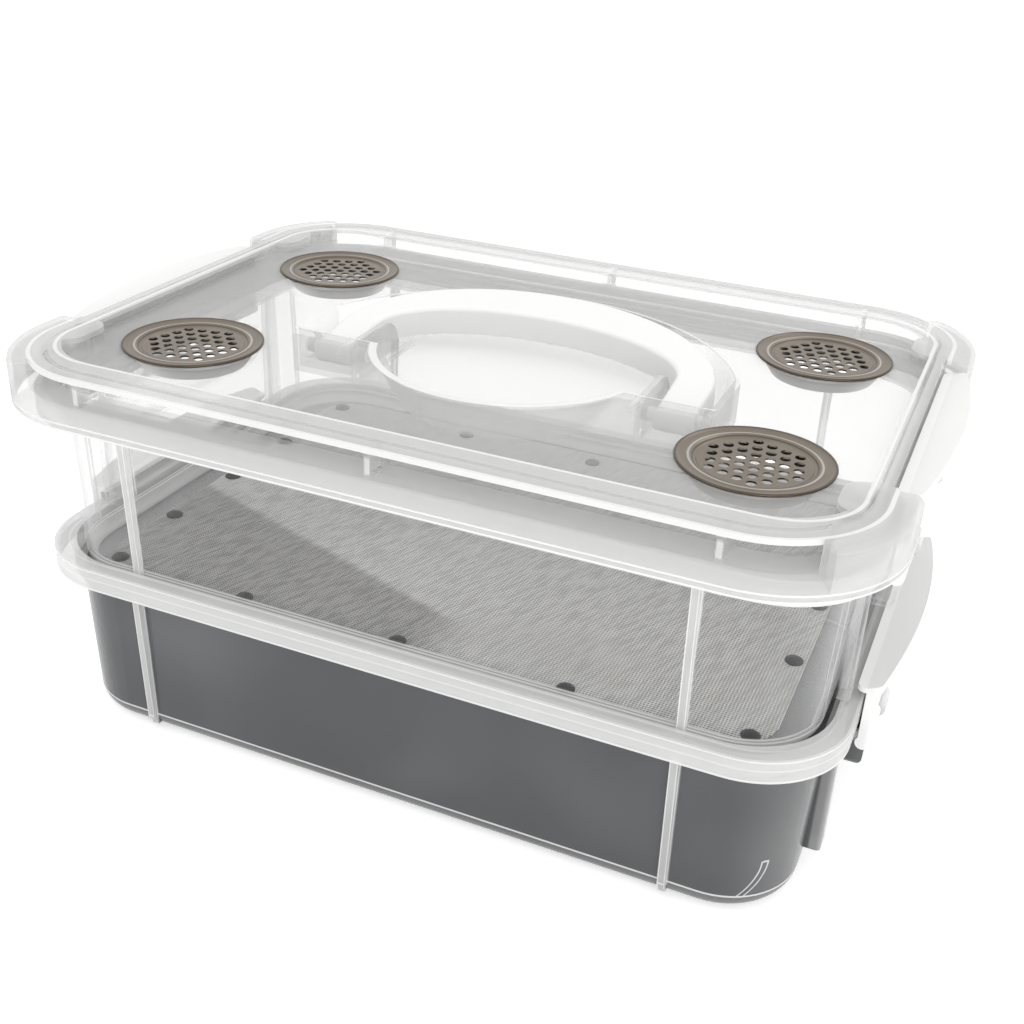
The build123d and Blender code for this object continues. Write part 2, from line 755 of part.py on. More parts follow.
def make_latch(level, catch):
    """A right-hand latch: hinge level and the height of the ledge that it holds."""
    half = latch_length / 2
    inner = catch_edge - latch_catch
    web_in = rim_length / 2 + latch_web_gap
    web_out = web_in + latch_web
    plate_low = catch + latch_catch_gap
    plate_top = plate_low + latch_plate
    tip = hinge_x + latch_tab + latch_tab_bulge
    web_top_out = web_out + latch_web_flare
    outline = [(web_in, level), (web_in, plate_low), (inner, plate_low), (inner, plate_top),
               (web_in, plate_top), (tip, plate_top + latch_tab_rise),
               (tip, plate_top + latch_tab_rise - latch_plate), (web_top_out, plate_low), (web_out, level)]
    body = end_profile(outline, -half, half)
    body += Pos(hinge_x, 0, level) * Rot(90, 0, 0) * Cylinder(latch_barrel_radius, latch_length)
    body = body & extrude(Pos(0, 0, -far) * latch_plan(), 2 * far)
    slot = lug_radius + latch_slot_gap
    for side in (-1, 1):
        middle = side * hinge_spacing / 2
        reach = lug_width / 2 + latch_slot_gap
        body -= block(hinge_x - far, hinge_x + far, middle - reach, middle + reach,
                      level - 2 * latch_barrel_radius, level + slot)
    rod = Pos(hinge_x, 0, level) * Rot(90, 0, 0) * Cylinder(latch_rod_radius, latch_length - 2 * latch_corner)
    return body + rod


def write(node, shape):
    """Save one piece under its own name."""
    export_step(shape, f"parts/{node}.step")


def main():
    """Build every piece and save it."""
    os.makedirs("parts", exist_ok=True)
    write("lower_box", make_lower_box())
    write("upper_tray", make_upper_tray())
    write("mesh_floor", make_mesh_floor())
    write("mesh_rivets", make_rivets())
    write("lid", make_lid())
    write("handle", make_handle())
    for place, (x, y) in vent_places().items():
        write(f"vent_cap_{place}", Pos(x, y, panel_top) * make_vent_cap(vent_turns[place]))
        write(f"vent_collar_{place}", Pos(x, y, panel_top) * make_vent_collar())
    tray_latch = make_latch(tub_height - hinge_drop, tray_ledge_top)
    lid_latch = make_latch(tray_rim_top - hinge_drop, catch_top)
    for name, latch in (("tray_latch", tray_latch), ("lid_latch", lid_latch)):
        right, left = both_ends(latch)
        write(f"{name}_right", right)
        write(f"{name}_left", left)


main()
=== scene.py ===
"""A two-tier mealworm breeding box on a plain studio floor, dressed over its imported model."""

import logging
import math
from abc import ABC, abstractmethod
from dataclasses import dataclass
from enum import Enum
from functools import reduce

import bmesh
import bpy
from mathutils import Matrix, Vector

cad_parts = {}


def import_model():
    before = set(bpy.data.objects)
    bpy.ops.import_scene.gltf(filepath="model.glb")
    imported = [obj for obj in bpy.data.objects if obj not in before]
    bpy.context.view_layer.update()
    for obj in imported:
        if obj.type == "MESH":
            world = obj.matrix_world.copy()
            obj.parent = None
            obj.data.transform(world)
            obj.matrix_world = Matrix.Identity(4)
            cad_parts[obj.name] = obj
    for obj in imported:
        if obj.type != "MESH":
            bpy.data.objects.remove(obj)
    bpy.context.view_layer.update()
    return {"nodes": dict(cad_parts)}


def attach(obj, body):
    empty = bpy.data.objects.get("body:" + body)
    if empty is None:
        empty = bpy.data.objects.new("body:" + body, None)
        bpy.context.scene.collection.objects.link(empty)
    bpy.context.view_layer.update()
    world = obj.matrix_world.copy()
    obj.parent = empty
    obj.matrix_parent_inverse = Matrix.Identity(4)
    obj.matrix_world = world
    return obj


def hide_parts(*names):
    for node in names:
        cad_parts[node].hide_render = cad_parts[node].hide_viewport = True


LOG = logging.getLogger("breeding_box")
MM = 0.001


class Ray(Enum):
    """Kinds of light path that see the white studio."""

    CAMERA = "Is Camera Ray"
    GLOSSY = "Is Glossy Ray"
    TRANSMISSION = "Is Transmission Ray"


class Moulding(Enum):
    """Kinds of clear moulding, each with its own thick parts and painted highlight lines along its edges."""

    TUB = "tub_parts"
    LID = "lid_parts"


class Corner(Enum):
    """Places of the vents on the lid, as signs along X and Y."""

    FRONT_LEFT = (-1, -1)
    FRONT_RIGHT = (1, -1)
    BACK_LEFT = (-1, 1)
    BACK_RIGHT = (1, 1)

    @property
    def word(self) -> str:
        """The place as the frame's nodes spell it."""
        return self.name.lower()


class Wiring:
    """Adds nodes to one tree and links them in the same call."""

    def __init__(self, tree: bpy.types.NodeTree) -> None:
        """Start on a tree.

        Args:
            tree: the shader or geometry tree to fill.
        """
        self.tree = tree

    def add(self, kind: str, inputs: dict | None = None, **settings: object) -> bpy.types.Node:
        """Add one node.

        Args:
            kind: the node's type name.
            inputs: values or sockets for the node's inputs, by name or index.
            settings: properties of the node itself.

        Returns:
            The new node.
        """
        node = self.tree.nodes.new(kind)
        for name, value in settings.items():
            setattr(node, name, value)
        for key, value in (inputs or {}).items():
            if isinstance(value, bpy.types.NodeSocket):
                self.tree.links.new(value, node.inputs[key])
            else:
                node.inputs[key].default_value = value
        return node

    def math(self, operation: str, *values: object) -> bpy.types.NodeSocket:
        """Work out one number from up to three numbers or sockets, in order."""
        node = self.add("ShaderNodeMath", dict(enumerate(values)), operation=operation)
        return node.outputs[0]

    def mix(self, factor: object, low: object, high: object) -> bpy.types.NodeSocket:
        """Blend two numbers, where a factor of 0 gives the first and 1 the second."""
        node = self.add("ShaderNodeMix", {0: factor, 2: low, 3: high}, data_type="FLOAT")
        return node.outputs[0]

    def blend(self, factor: object, low: object, high: object) -> bpy.types.NodeSocket:
        """Blend two colours, where a factor of 0 gives the first and 1 the second."""
        node = self.add("ShaderNodeMix", {0: factor, 6: low, 7: high}, data_type="RGBA")
        return node.outputs[2]

    def step(self, value: object, start: float, end: float) -> bpy.types.NodeSocket:
        """Rise smoothly from 0, where a value is at the start, to 1, where it is at the end."""
        node = self.add("ShaderNodeMapRange", {"Value": value, "From Min": start, "From Max": end},
                        interpolation_type="SMOOTHSTEP")
        return node.outputs[0]

    def line(self, value: object, at: float, half: float) -> bpy.types.NodeSocket:
        """A mask that is 1 where a value passes a level, and fades to 0 at so much each way."""
        away = self.math("ABSOLUTE", self.math("SUBTRACT", value, at))
        return self.step(away, half, 0.5 * half)

    def above(self, value: object, level: float, soft: float) -> bpy.types.NodeSocket:
        """A mask that is 1 above a level, with a soft edge of so much each way."""
        return self.step(value, level - soft, level + soft)

    def below(self, value: object, level: float, soft: float) -> bpy.types.NodeSocket:
        """A mask that is 1 below a level, with a soft edge of so much each way."""
        return self.step(value, level + soft, level - soft)

    def opposite(self, mask: object) -> bpy.types.NodeSocket:
        """The opposite of a mask."""
        return self.math("SUBTRACT", 1.0, mask)

    def any_of(self, *masks: object) -> bpy.types.NodeSocket:
        """Any of several masks, as their largest."""
        return reduce(lambda one, other: self.math("MAXIMUM", one, other), masks)

    def all_of(self, *masks: object) -> bpy.types.NodeSocket:
        """Several masks together, as their product."""
        return reduce(lambda one, other: self.math("MULTIPLY", one, other), masks)

    def vector(self, *parts: object) -> bpy.types.NodeSocket:
        """A vector from its X, Y and Z, with 0 for what isn't given."""
        return self.add("ShaderNodeCombineXYZ", dict(enumerate(parts))).outputs[0]

    def outline(self, x: object, y: object, half_x: float, half_y: float,
                corner: float) -> bpy.types.NodeSocket:
        """How far a place lies outside a rectangle with round corners, all in millimetres.

        Args:
            x: the place's distance from the middle along X.
            y: the place's distance from the middle along Y.
            half_x: half the rectangle's length.
            half_y: half the rectangle's width.
            corner: the radius of its corners.

        Returns:
            The distance, below 0 inside.
        """
        right = self.math("MAXIMUM", self.math("SUBTRACT", x, half_x - corner), 0.0)
        above = self.math("MAXIMUM", self.math("SUBTRACT", y, half_y - corner), 0.0)
        return self.math("SUBTRACT", self.distance(right, above), corner)

    def distance(self, x: object, y: object) -> bpy.types.NodeSocket:
        """How far a point of a plane lies from that plane's zero."""
        square = self.math("MULTIPLY_ADD", x, x, self.math("MULTIPLY", y, y))
        return self.math("SQRT", square)

    def place(self) -> tuple:
        """Split Object coordinates.

        Returns:
            The sockets of X, Y and Z in millimetres.
        """
        metres = self.add("ShaderNodeTexCoord").outputs["Object"]
        scaled = self.add("ShaderNodeVectorMath", {0: metres, "Scale": 1.0 / MM}, operation="SCALE")
        split = self.add("ShaderNodeSeparateXYZ", {0: scaled.outputs[0]})
        return tuple(split.outputs)


def new_group(name: str, inputs: dict, outputs: tuple) -> bpy.types.NodeTree:
    """Make an empty shader node group, whose inputs and outputs are all plain numbers.

    Args:
        name: the group's name.
        inputs: default value by input name.
        outputs: the outputs' names.

    Returns:
        The group, with its input and output nodes to come.
    """
    group = bpy.data.node_groups.new(name, "ShaderNodeTree")
    for key, value in inputs.items():
        socket = group.interface.new_socket(key, in_out="INPUT", socket_type="NodeSocketFloat")
        socket.default_value = value
    for key in outputs:
        group.interface.new_socket(key, in_out="OUTPUT", socket_type="NodeSocketFloat")
    return group


def colour(red: float, green: float, blue: float) -> tuple:
    """A colour with full alpha."""
    return (red, green, blue, 1.0)


@dataclass(frozen=True)
class TubPlan:
    """Where a tub's parts lie: millimetres from its middle, its foot or its rim, and radians for turns."""

    rim: tuple = (177.6, 124.7, 39.0)
    rim_foot: float = 71.5
    rim_top: float = 82.8
    lip_inset: float = 0.4
    crease_inset: float = 6.2
    skirt_foot: float = 74.4
    skirt_inset: float = 2.15
    waist_level: float = 79.4
    waist_inset: float = 0.45
    fin_x: float = 120.3
    fin_y: float = 113.0
    fin_half: float = 2.6
    fin_edge: float = 1.5
    pillar_x: float = 168.3
    pillar_y: float = 67.0
    pillar_half: float = 7.0
    hinge_x: float = 174.0
    hinge_foot: float = 56.0
    wall_inset: float = 11.7
    mouth_foot: float = 61.0
    foot_level: float = 8.6
    foot_inset: float = 16.5
    corner_x: float = 133.95
    corner_y: float = 81.05
    corner_start: float = 0.5
    curl_foot: float = 8.0
    curl_top: float = 25.6
    curl_turn: float = 0.771
    curl_sweep: float = 0.28
    curl_half: float = 0.042
    bend_turn: float = 1.449
    nest_level: float = 9.0
    wall_foot: float = 2.35
    floor_top: float = 2.05
    floor_inset: float = 31.5
    painted_light_reach: float = 193.0


@dataclass(frozen=True)
class LidPlan:
    """Where the lid's parts lie, in millimetres from its middle or up from the ground."""

    skirt: tuple = (185.2, 137.6, 52.0)
    border: tuple = (176.0, 130.6, 44.0)
    panel: tuple = (166.7, 113.8, 28.1)
    panel_edge: float = 2.9
    panel_top: float = 167.9
    groove_inset: float = 6.6
    brow_inset: float = 0.5
    inner_reach: float = 0.6
    border_foot: float = 171.55
    border_top: float = 173.05
    skirt_top: float = 162.25
    wall_foot: float = 162.8
    wall_top: float = 170.7
    end_x: float = 159.0
    block_y: float = 70.6
    well_y: float = -1.5
    well_radius: float = 60.6
    recess_y: float = -23.0
    recess_radius: float = 103.6
    recess_start: float = 16.0
    opening_y: float = -22.2
    opening_start: float = 58.0
    opening_end: float = 97.25
    cheek_x: float = 66.1
    cheek_y: float = -3.0
    cheek_half: float = 38.0
    seat_levels: tuple = (155.0, 157.5)
    seat_inset: float = 1.35
    rib_places: tuple = (0.0, 129.0)
    rib_half: float = 1.6
    rib_level: float = 166.6
    rib_half_height: float = 4.8


class Effects:
    """The shader node groups that several materials share."""

    def __init__(self) -> None:
        """Build every group once."""
        self.grain = self._grain()
        self.parts = {Moulding.TUB: self._tub(), Moulding.LID: self._lid()}
        self.turned = self._turned()

    def _grain(self) -> bpy.types.NodeTree:
        """Moulded plastic: a slow mottle and fine grain.

        Returns:
            The group, which puts out a mottle mask and a height.
        """
        group = new_group("moulded_grain", {"Mottle Scale": 18.0, "Grain Scale": 900.0}, ("Mottle", "Height"))
        wire = Wiring(group)
        given = wire.add("NodeGroupInput")
        place = wire.add("ShaderNodeTexCoord").outputs["Object"]
        slow = wire.add("ShaderNodeTexNoise", {"Vector": place, "Scale": given.outputs[0], "Detail": 1.0})
        fine = wire.add("ShaderNodeTexNoise", {"Vector": place, "Scale": given.outputs[1], "Detail": 0.0})
        height = wire.math("MULTIPLY_ADD", fine.outputs[0], 0.4, slow.outputs[0])
        wire.add("NodeGroupOutput", {0: slow.outputs[0], 1: height})
        return group

    def _tub(self) -> bpy.types.NodeTree:
        """Where a tub is thick, where painted light pales the lower box's inner wall, where painted highlight
        lines mark the edges that catch light, its floor, and where painted light makes it paler.

        Returns:
            The group, which puts out the thick parts with the painted light of the inner wall, the painted
            highlight lines, the floor and the painted light of the paler parts as masks.
        """
        group = new_group(Moulding.TUB.value, {"Base": 0.0, "Lower Box": 0.0},
                          ("Thick", "Line", "Flat", "Light"))
        plan, wire = TubPlan(), Wiring(group)
        given = wire.add("NodeGroupInput")
        x, y, z = wire.place()
        side, front = wire.math("ABSOLUTE", x), wire.math("ABSOLUTE", y)
        level = wire.math("SUBTRACT", z, given.outputs["Base"])
        lower_box = given.outputs["Lower Box"]
        tray = wire.opposite(lower_box)
        beyond = wire.outline(side, front, *plan.rim)
        rim = wire.above(level, plan.rim_foot, 0.5)
        fin = wire.all_of(wire.line(side, plan.fin_x, plan.fin_half),
                          wire.above(front, plan.fin_y, 0.4))
        pillar = wire.all_of(wire.line(front, plan.pillar_y, plan.pillar_half),
                             wire.above(side, plan.pillar_x, 0.7), 0.5)
        hinge = wire.all_of(wire.above(side, plan.hinge_x, 0.4), wire.above(level, plan.hinge_foot, 2.0))
        # Painted light: the lower box's inner wall above the mouth's foot is made pale and hazy like a thick
        # part, where it would stand in shade.
        mouth = wire.all_of(wire.below(beyond, -plan.wall_inset, 0.5),
                            wire.above(level, plan.mouth_foot, 5.0), lower_box)
        nested = wire.all_of(wire.below(level, plan.nest_level, 1.0), wire.above(level, plan.wall_foot, 0.25),
                             tray)
        rim_top = wire.above(level, plan.rim_top, 0.2)
        # Painted highlights: bright lines along the rim's lip and crease, the skirt, the waist, the foot, the
        # fins' edges and the corners.
        lip = wire.all_of(wire.line(beyond, -plan.lip_inset, 1.0), rim_top)
        crease = wire.all_of(wire.line(beyond, -plan.crease_inset, 0.7), rim_top, 0.6)
        skirt = wire.all_of(wire.line(level, plan.skirt_foot, 0.8),
                            wire.above(beyond, -plan.skirt_inset, 0.25))
        waist = wire.all_of(wire.line(level, plan.waist_level, 0.5),
                            wire.above(beyond, -plan.waist_inset, 0.15), 0.5)
        foot = wire.line(level, plan.foot_level, 0.6)
        from_fin = wire.math("ABSOLUTE", wire.math("SUBTRACT", side, plan.fin_x))
        rib = wire.all_of(wire.line(from_fin, plan.fin_edge, 0.45), fin, wire.opposite(rim))
        curl, bend = self._corner_lines(wire, plan, (side, front, level, beyond))
        # Painted light: paler far corners, a paler strip below the corners' curl and a paler floor margin.
        reach = wire.above(wire.distance(x, y), plan.painted_light_reach, 12.0)
        strip = wire.all_of(wire.below(level, plan.curl_foot, 0.4), 0.5)
        margin = wire.all_of(wire.below(level, plan.wall_foot, 0.2),
                             wire.above(beyond, -plan.floor_inset, 2.5))
        wire.add("NodeGroupOutput", {
            "Thick": wire.any_of(rim, fin, pillar, hinge, mouth, nested),
            "Line": wire.any_of(lip, crease, skirt, waist, foot, rib, wire.all_of(curl, lower_box, 0.8),
                                wire.all_of(bend, tray, 0.7)),
            "Flat": wire.below(level, plan.floor_top, 0.05),
            "Light": wire.any_of(reach, strip, margin)})
        return group

    @staticmethod
    def _corner_lines(wire: Wiring, plan: TubPlan, place: tuple) -> tuple:
        """Painted highlight lines on the raised curl low on each round corner, and on the line where the
        corner's bend ends.

        Args:
            wire: the tree to add to.
            plan: the tub's places.
            place: the distances from the middle, the level over the foot and the distance past the rim.

        Returns:
            The masks of the painted highlights on the curl and on the bend's line.
        """
        side, front, level, beyond = place
        quarter = wire.all_of(wire.above(side, plan.corner_x + plan.corner_start, 0.45),
                              wire.above(front, plan.corner_y + plan.corner_start, 0.45))
        turn = wire.math("ARCTAN2", wire.math("SUBTRACT", side, plan.corner_x),
                         wire.math("SUBTRACT", front, plan.corner_y))
        drop = wire.math("MULTIPLY", wire.math("SUBTRACT", plan.curl_top, level),
                         1.0 / (plan.curl_top - plan.curl_foot))
        swept = wire.math("MULTIPLY_ADD", wire.math("MULTIPLY", drop, drop), plan.curl_sweep,
                          wire.math("SUBTRACT", turn, plan.curl_turn))
        legs = wire.all_of(wire.line(wire.math("ABSOLUTE", swept), plan.curl_half, 0.014),
                           wire.above(level, plan.curl_foot + 0.1, 0.3),
                           wire.below(level, plan.curl_top + 0.3, 0.2))
        head = wire.all_of(wire.line(level, plan.curl_top, 0.6), wire.line(swept, 0.0, plan.curl_half + 0.01))
        curl = wire.all_of(wire.any_of(legs, head), wire.above(beyond, -plan.foot_inset, 0.5), quarter)
        bend = wire.all_of(wire.line(turn, plan.bend_turn, 0.035), quarter,
                           wire.above(level, plan.nest_level + 1.0, 1.0),
                           wire.below(level, plan.rim_foot - 1.25, 0.25))
        return curl, bend

    def _lid(self) -> bpy.types.NodeTree:
        """Where the lid is thick, where painted highlight lines mark the edges that catch light, and its
        clear upright wall.

        Returns:
            The group, which puts out the thick parts, bright lines and clear wall as masks.
        """
        group = new_group(Moulding.LID.value, {"Border": 0.8, "Skirt": 0.75, "Block": 0.7},
                          ("Thick", "Line", "Flat"))
        plan, wire = LidPlan(), Wiring(group)
        given = wire.add("NodeGroupInput")
        x, y, z = wire.place()
        side, front = wire.math("ABSOLUTE", x), wire.math("ABSOLUTE", y)
        past_skirt, past_border, past_panel = (wire.outline(side, front, *form)
                                               for form in (plan.skirt, plan.border, plan.panel))
        outside = wire.above(past_panel, plan.panel_edge, 0.3)
        border_face = wire.above(z, plan.border_foot, 0.25)
        panel_face = wire.above(z, plan.panel_top, 0.3)
        ends = wire.above(side, plan.end_x, 1.0)
        groove = wire.line(past_border, -plan.groove_inset, 0.9)
        border = wire.all_of(border_face, wire.opposite(groove), given.outputs["Border"])
        skirt = wire.all_of(outside, wire.below(z, plan.skirt_top, 0.75), given.outputs["Skirt"])
        block = wire.all_of(ends, wire.above(front, plan.block_y, 0.6), outside, given.outputs["Block"])
        # Painted highlights: bright lines round the well, the recess, the opening, the cheeks, the seats, the
        # brow, the inner edge and the ribs.
        well = wire.all_of(self._ring(wire, x, y, plan.well_y, plan.well_radius, 2.6), panel_face)
        recess = wire.all_of(self._ring(wire, x, y, plan.recess_y, plan.recess_radius, 0.9),
                             wire.above(y, plan.recess_start, 2.0), panel_face)
        opening = wire.all_of(wire.line(y, plan.opening_y, 0.7), wire.above(side, plan.opening_start, 1.0),
                              panel_face, wire.below(side, plan.opening_end, 0.25))
        cheek = wire.all_of(wire.line(side, plan.cheek_x, 1.8),
                            wire.line(y, plan.cheek_y, plan.cheek_half), 0.5)
        low, high = plan.seat_levels
        seat = wire.all_of(wire.any_of(wire.line(z, low, 0.6), wire.line(z, high, 0.5)),
                           wire.above(past_skirt, -plan.seat_inset, 0.25))
        brow = wire.all_of(wire.line(past_border, -plan.brow_inset, 1.1), border_face)
        inner = wire.all_of(wire.line(past_panel, plan.inner_reach, 1.1),
                            wire.above(z, plan.border_top, 0.25))
        ribs = wire.all_of(wire.any_of(*(wire.line(side, place, plan.rib_half) for place in plan.rib_places)),
                           wire.line(z, plan.rib_level, plan.rib_half_height), outside, 0.7)
        wall = wire.all_of(wire.below(z, plan.wall_top, 0.2), wire.above(z, plan.wall_foot, 0.2), outside,
                           wire.opposite(ends))
        wire.add("NodeGroupOutput", {
            "Thick": wire.any_of(border, skirt, block), "Flat": wall,
            "Line": wire.any_of(well, recess, opening, cheek, seat, brow, inner, ribs)})
        return group

    @staticmethod
    def _ring(wire: Wiring, x: object, y: object, middle: float, radius: float,
              half: float) -> bpy.types.NodeSocket:
        """A thin circle about a point of the middle plane, in millimetres.

        Args:
            wire: the tree to add to.
            x: the place along X.
            y: the place along Y.
            middle: the circle's centre along Y.
            radius: the circle's radius.
            half: half the line's width.

        Returns:
            The line's mask.
        """
        return wire.line(wire.distance(x, wire.math("SUBTRACT", y, middle)), radius, half)

    def _turned(self) -> bpy.types.NodeTree:
        """Turning marks round each vent's middle.

        Returns:
            The group, which puts out the ring pattern and the distance from the middle.
        """
        group = new_group("turned_rings", {"Ring Scale": 2.6}, ("Rings", "Distance"))
        wire = Wiring(group)
        given = wire.add("NodeGroupInput")
        x, y, _ = wire.place()
        across = wire.math("SUBTRACT", wire.math("ABSOLUTE", x), VentCap.from_middle_x)
        along = wire.math("SUBTRACT", wire.math("ABSOLUTE", y), VentCap.from_middle_y)
        distance = wire.distance(across, along)
        spread = wire.vector(distance, wire.math("MULTIPLY", across, 0.05))
        rings = wire.add("ShaderNodeTexNoise", {"Vector": spread, "Scale": given.outputs[0], "Detail": 2.0})
        wire.add("NodeGroupOutput", {"Rings": rings.outputs[0], "Distance": distance})
        return group


class Finish:
    """A material with its Principled shader ready for a finish to wire."""

    def __init__(self, name: str) -> None:
        """Make the material under a name."""
        self.material = bpy.data.materials.new(name)
        self.material.use_nodes = True
        self.wire = Wiring(self.material.node_tree)
        self.shader = self.material.node_tree.nodes["Principled BSDF"]

    def feed(self, name: str, value: object) -> None:
        """Link or set one of the shader's inputs."""
        if isinstance(value, bpy.types.NodeSocket):
            self.wire.tree.links.new(value, self.shader.inputs[name])
        else:
            self.shader.inputs[name].default_value = value

    def group(self, tree: bpy.types.NodeTree, **values: object) -> bpy.types.Node:
        """Place a shared group.

        Args:
            tree: the shared group.
            values: the group's inputs, with underscores for spaces.

        Returns:
            The placed group node.
        """
        node = self.wire.add("ShaderNodeGroup", node_tree=tree)
        for key, value in values.items():
            node.inputs[key.replace("_", " ")].default_value = value
        return node

    def bump(self, height: bpy.types.NodeSocket, strength: float, distance: float) -> None:
        """Raise the surface by a height."""
        node = self.wire.add("ShaderNodeBump", {"Height": height, "Strength": strength, "Distance": distance})
        self.feed("Normal", node.outputs[0])


@dataclass(frozen=True)
class Surface(ABC):
    """A named finish, of which each kind wires its own pattern."""

    name: str

    @abstractmethod
    def pattern(self, finish: Finish, effects: Effects) -> None:
        """Wire what changes over the surface.

        Args:
            finish: the material to wire.
            effects: the shared node groups.
        """

    def build(self, effects: Effects) -> bpy.types.Material:
        """Make the material.

        Args:
            effects: the shared node groups.

        Returns:
            The finished material.
        """
        finish = Finish(self.name)
        self.pattern(finish, effects)
        return finish.material


@dataclass(frozen=True)
class ClearPlastic(Surface):
    """See-through moulded plastic, whiter where it is thick or seen on edge, with painted highlight lines
    along its edges and, on a tub, painted light on its paler parts.
    """

    moulding: Moulding
    body: tuple
    thick: tuple
    body_haze: float
    thick_haze: float
    flat_haze: float
    edge_haze: float
    edge_power: float = 1.2
    painted_highlight_haze: float = 0.9
    # The colour of the painted highlight lines along the edges.
    line: tuple = colour(0.93, 0.93, 0.925)
    roughness: float = 0.2
    specular: float = 0.5
    painted_light_gain: float = 0.0
    lower_box: bool = False
    base: float = 0.0

    def pattern(self, finish: Finish, effects: Effects) -> None:
        """Wire the haze, the pale thick parts, the painted light and the painted highlight lines along the
        edges.

        Args:
            finish: the material to wire.
            effects: the shared node groups.
        """
        wire = finish.wire
        grain = finish.group(effects.grain, Mottle_Scale=14.0, Grain_Scale=1300.0)
        parts = finish.group(effects.parts[self.moulding])
        thick, line, flat = (parts.outputs[name] for name in ("Thick", "Line", "Flat"))
        mottle = wire.math("MULTIPLY_ADD", grain.outputs[0], 0.3, 0.85)
        haze = wire.mix(flat, wire.mix(thick, self.body_haze, self.thick_haze), self.flat_haze)
        # Painted highlight lines: hazier along the edges.
        haze = wire.mix(line, wire.math("MULTIPLY", haze, mottle), self.painted_highlight_haze)
        facing = wire.add("ShaderNodeLayerWeight", {"Blend": 0.5}).outputs["Facing"]
        edge = wire.math("MULTIPLY", wire.math("POWER", facing, self.edge_power), self.edge_haze)
        clear = wire.all_of(wire.opposite(haze), wire.opposite(edge))
        finish.feed("Alpha", wire.opposite(clear))
        light = wire.math("MULTIPLY_ADD", grain.outputs[0], 0.12, -0.06)
        if self.moulding is Moulding.TUB:
            parts.inputs["Base"].default_value = self.base
            parts.inputs["Lower Box"].default_value = float(self.lower_box)
            # Painted light: a tub's paler parts take more of the thick colour.
            light = wire.math("MULTIPLY_ADD", parts.outputs["Light"], self.painted_light_gain, light)
        tone = wire.blend(wire.any_of(thick, light), self.body, self.thick)
        # Painted highlight: the edge lines take the bright line colour.
        finish.feed("Base Color", wire.blend(line, tone, self.line))
        finish.bump(grain.outputs[1], 0.05, 0.4 * MM)
        finish.feed("Roughness", self.roughness)
        finish.feed("Specular IOR Level", self.specular)


@dataclass(frozen=True)
class WhitePlastic(Surface):
    """Solid white moulded plastic with a soft sheen."""

    tone: tuple = colour(0.95, 0.95, 0.94)
    shade: tuple = colour(0.90, 0.90, 0.89)

    def pattern(self, finish: Finish, effects: Effects) -> None:
        """Wire a faint mottle and the sheen.

        Args:
            finish: the material to wire.
            effects: the shared node groups.
        """
        wire = finish.wire
        grain = finish.group(effects.grain, Mottle_Scale=25.0, Grain_Scale=1600.0)
        mottle = wire.math("MULTIPLY", grain.outputs[0], 0.35)
        finish.feed("Base Color", wire.blend(mottle, self.tone, self.shade))
        finish.feed("Roughness", wire.math("MULTIPLY_ADD", grain.outputs[0], 0.16, 0.26))
        finish.feed("Subsurface Weight", 0.15)
        finish.feed("Subsurface Radius", (0.004, 0.004, 0.004))
        finish.bump(grain.outputs[1], 0.15, 0.3 * MM)


@dataclass(frozen=True)
class TurnedSteel(Surface):
    """Stamped stainless steel with turning marks, a darker rolled edge, a painted shade in the groove inside
    the bead and a painted highlight on the bead.
    """

    tone: tuple = colour(0.25, 0.215, 0.175)
    dark: tuple = colour(0.12, 0.10, 0.08)
    # The colour of the painted highlight on the bead.
    bright: tuple = colour(0.62, 0.59, 0.54)
    rim_start: float = 28.2
    bead: float = 24.6

    def pattern(self, finish: Finish, effects: Effects) -> None:
        """Wire the turning marks, the dark rolled edge, the painted shade in the groove and the painted
        highlight on the bead.

        Args:
            finish: the material to wire.
            effects: the shared node groups.
        """
        wire = finish.wire
        rings = finish.group(effects.turned, Ring_Scale=2.6)
        grain = finish.group(effects.grain, Mottle_Scale=60.0, Grain_Scale=1500.0)
        worn = wire.math("MULTIPLY", grain.outputs[0], 0.45)
        distance = rings.outputs["Distance"]
        rim = wire.step(distance, self.rim_start, self.rim_start + 1.2)
        # Painted shade: a dark line in the groove just inside the bead.
        groove = wire.line(distance, self.bead - 1.6, 0.5)
        tone = wire.blend(wire.any_of(worn, rim, groove), self.tone, self.dark)
        # Painted highlight: a bright line on the bead.
        bead = wire.all_of(wire.line(distance, self.bead, 0.55), 0.7)
        finish.feed("Base Color", wire.blend(bead, tone, self.bright))
        finish.feed("Roughness", wire.math("MULTIPLY_ADD", rings.outputs[0], 0.22, 0.2))
        finish.feed("Metallic", 1.0)
        finish.bump(rings.outputs[0], 0.12, 0.15 * MM)


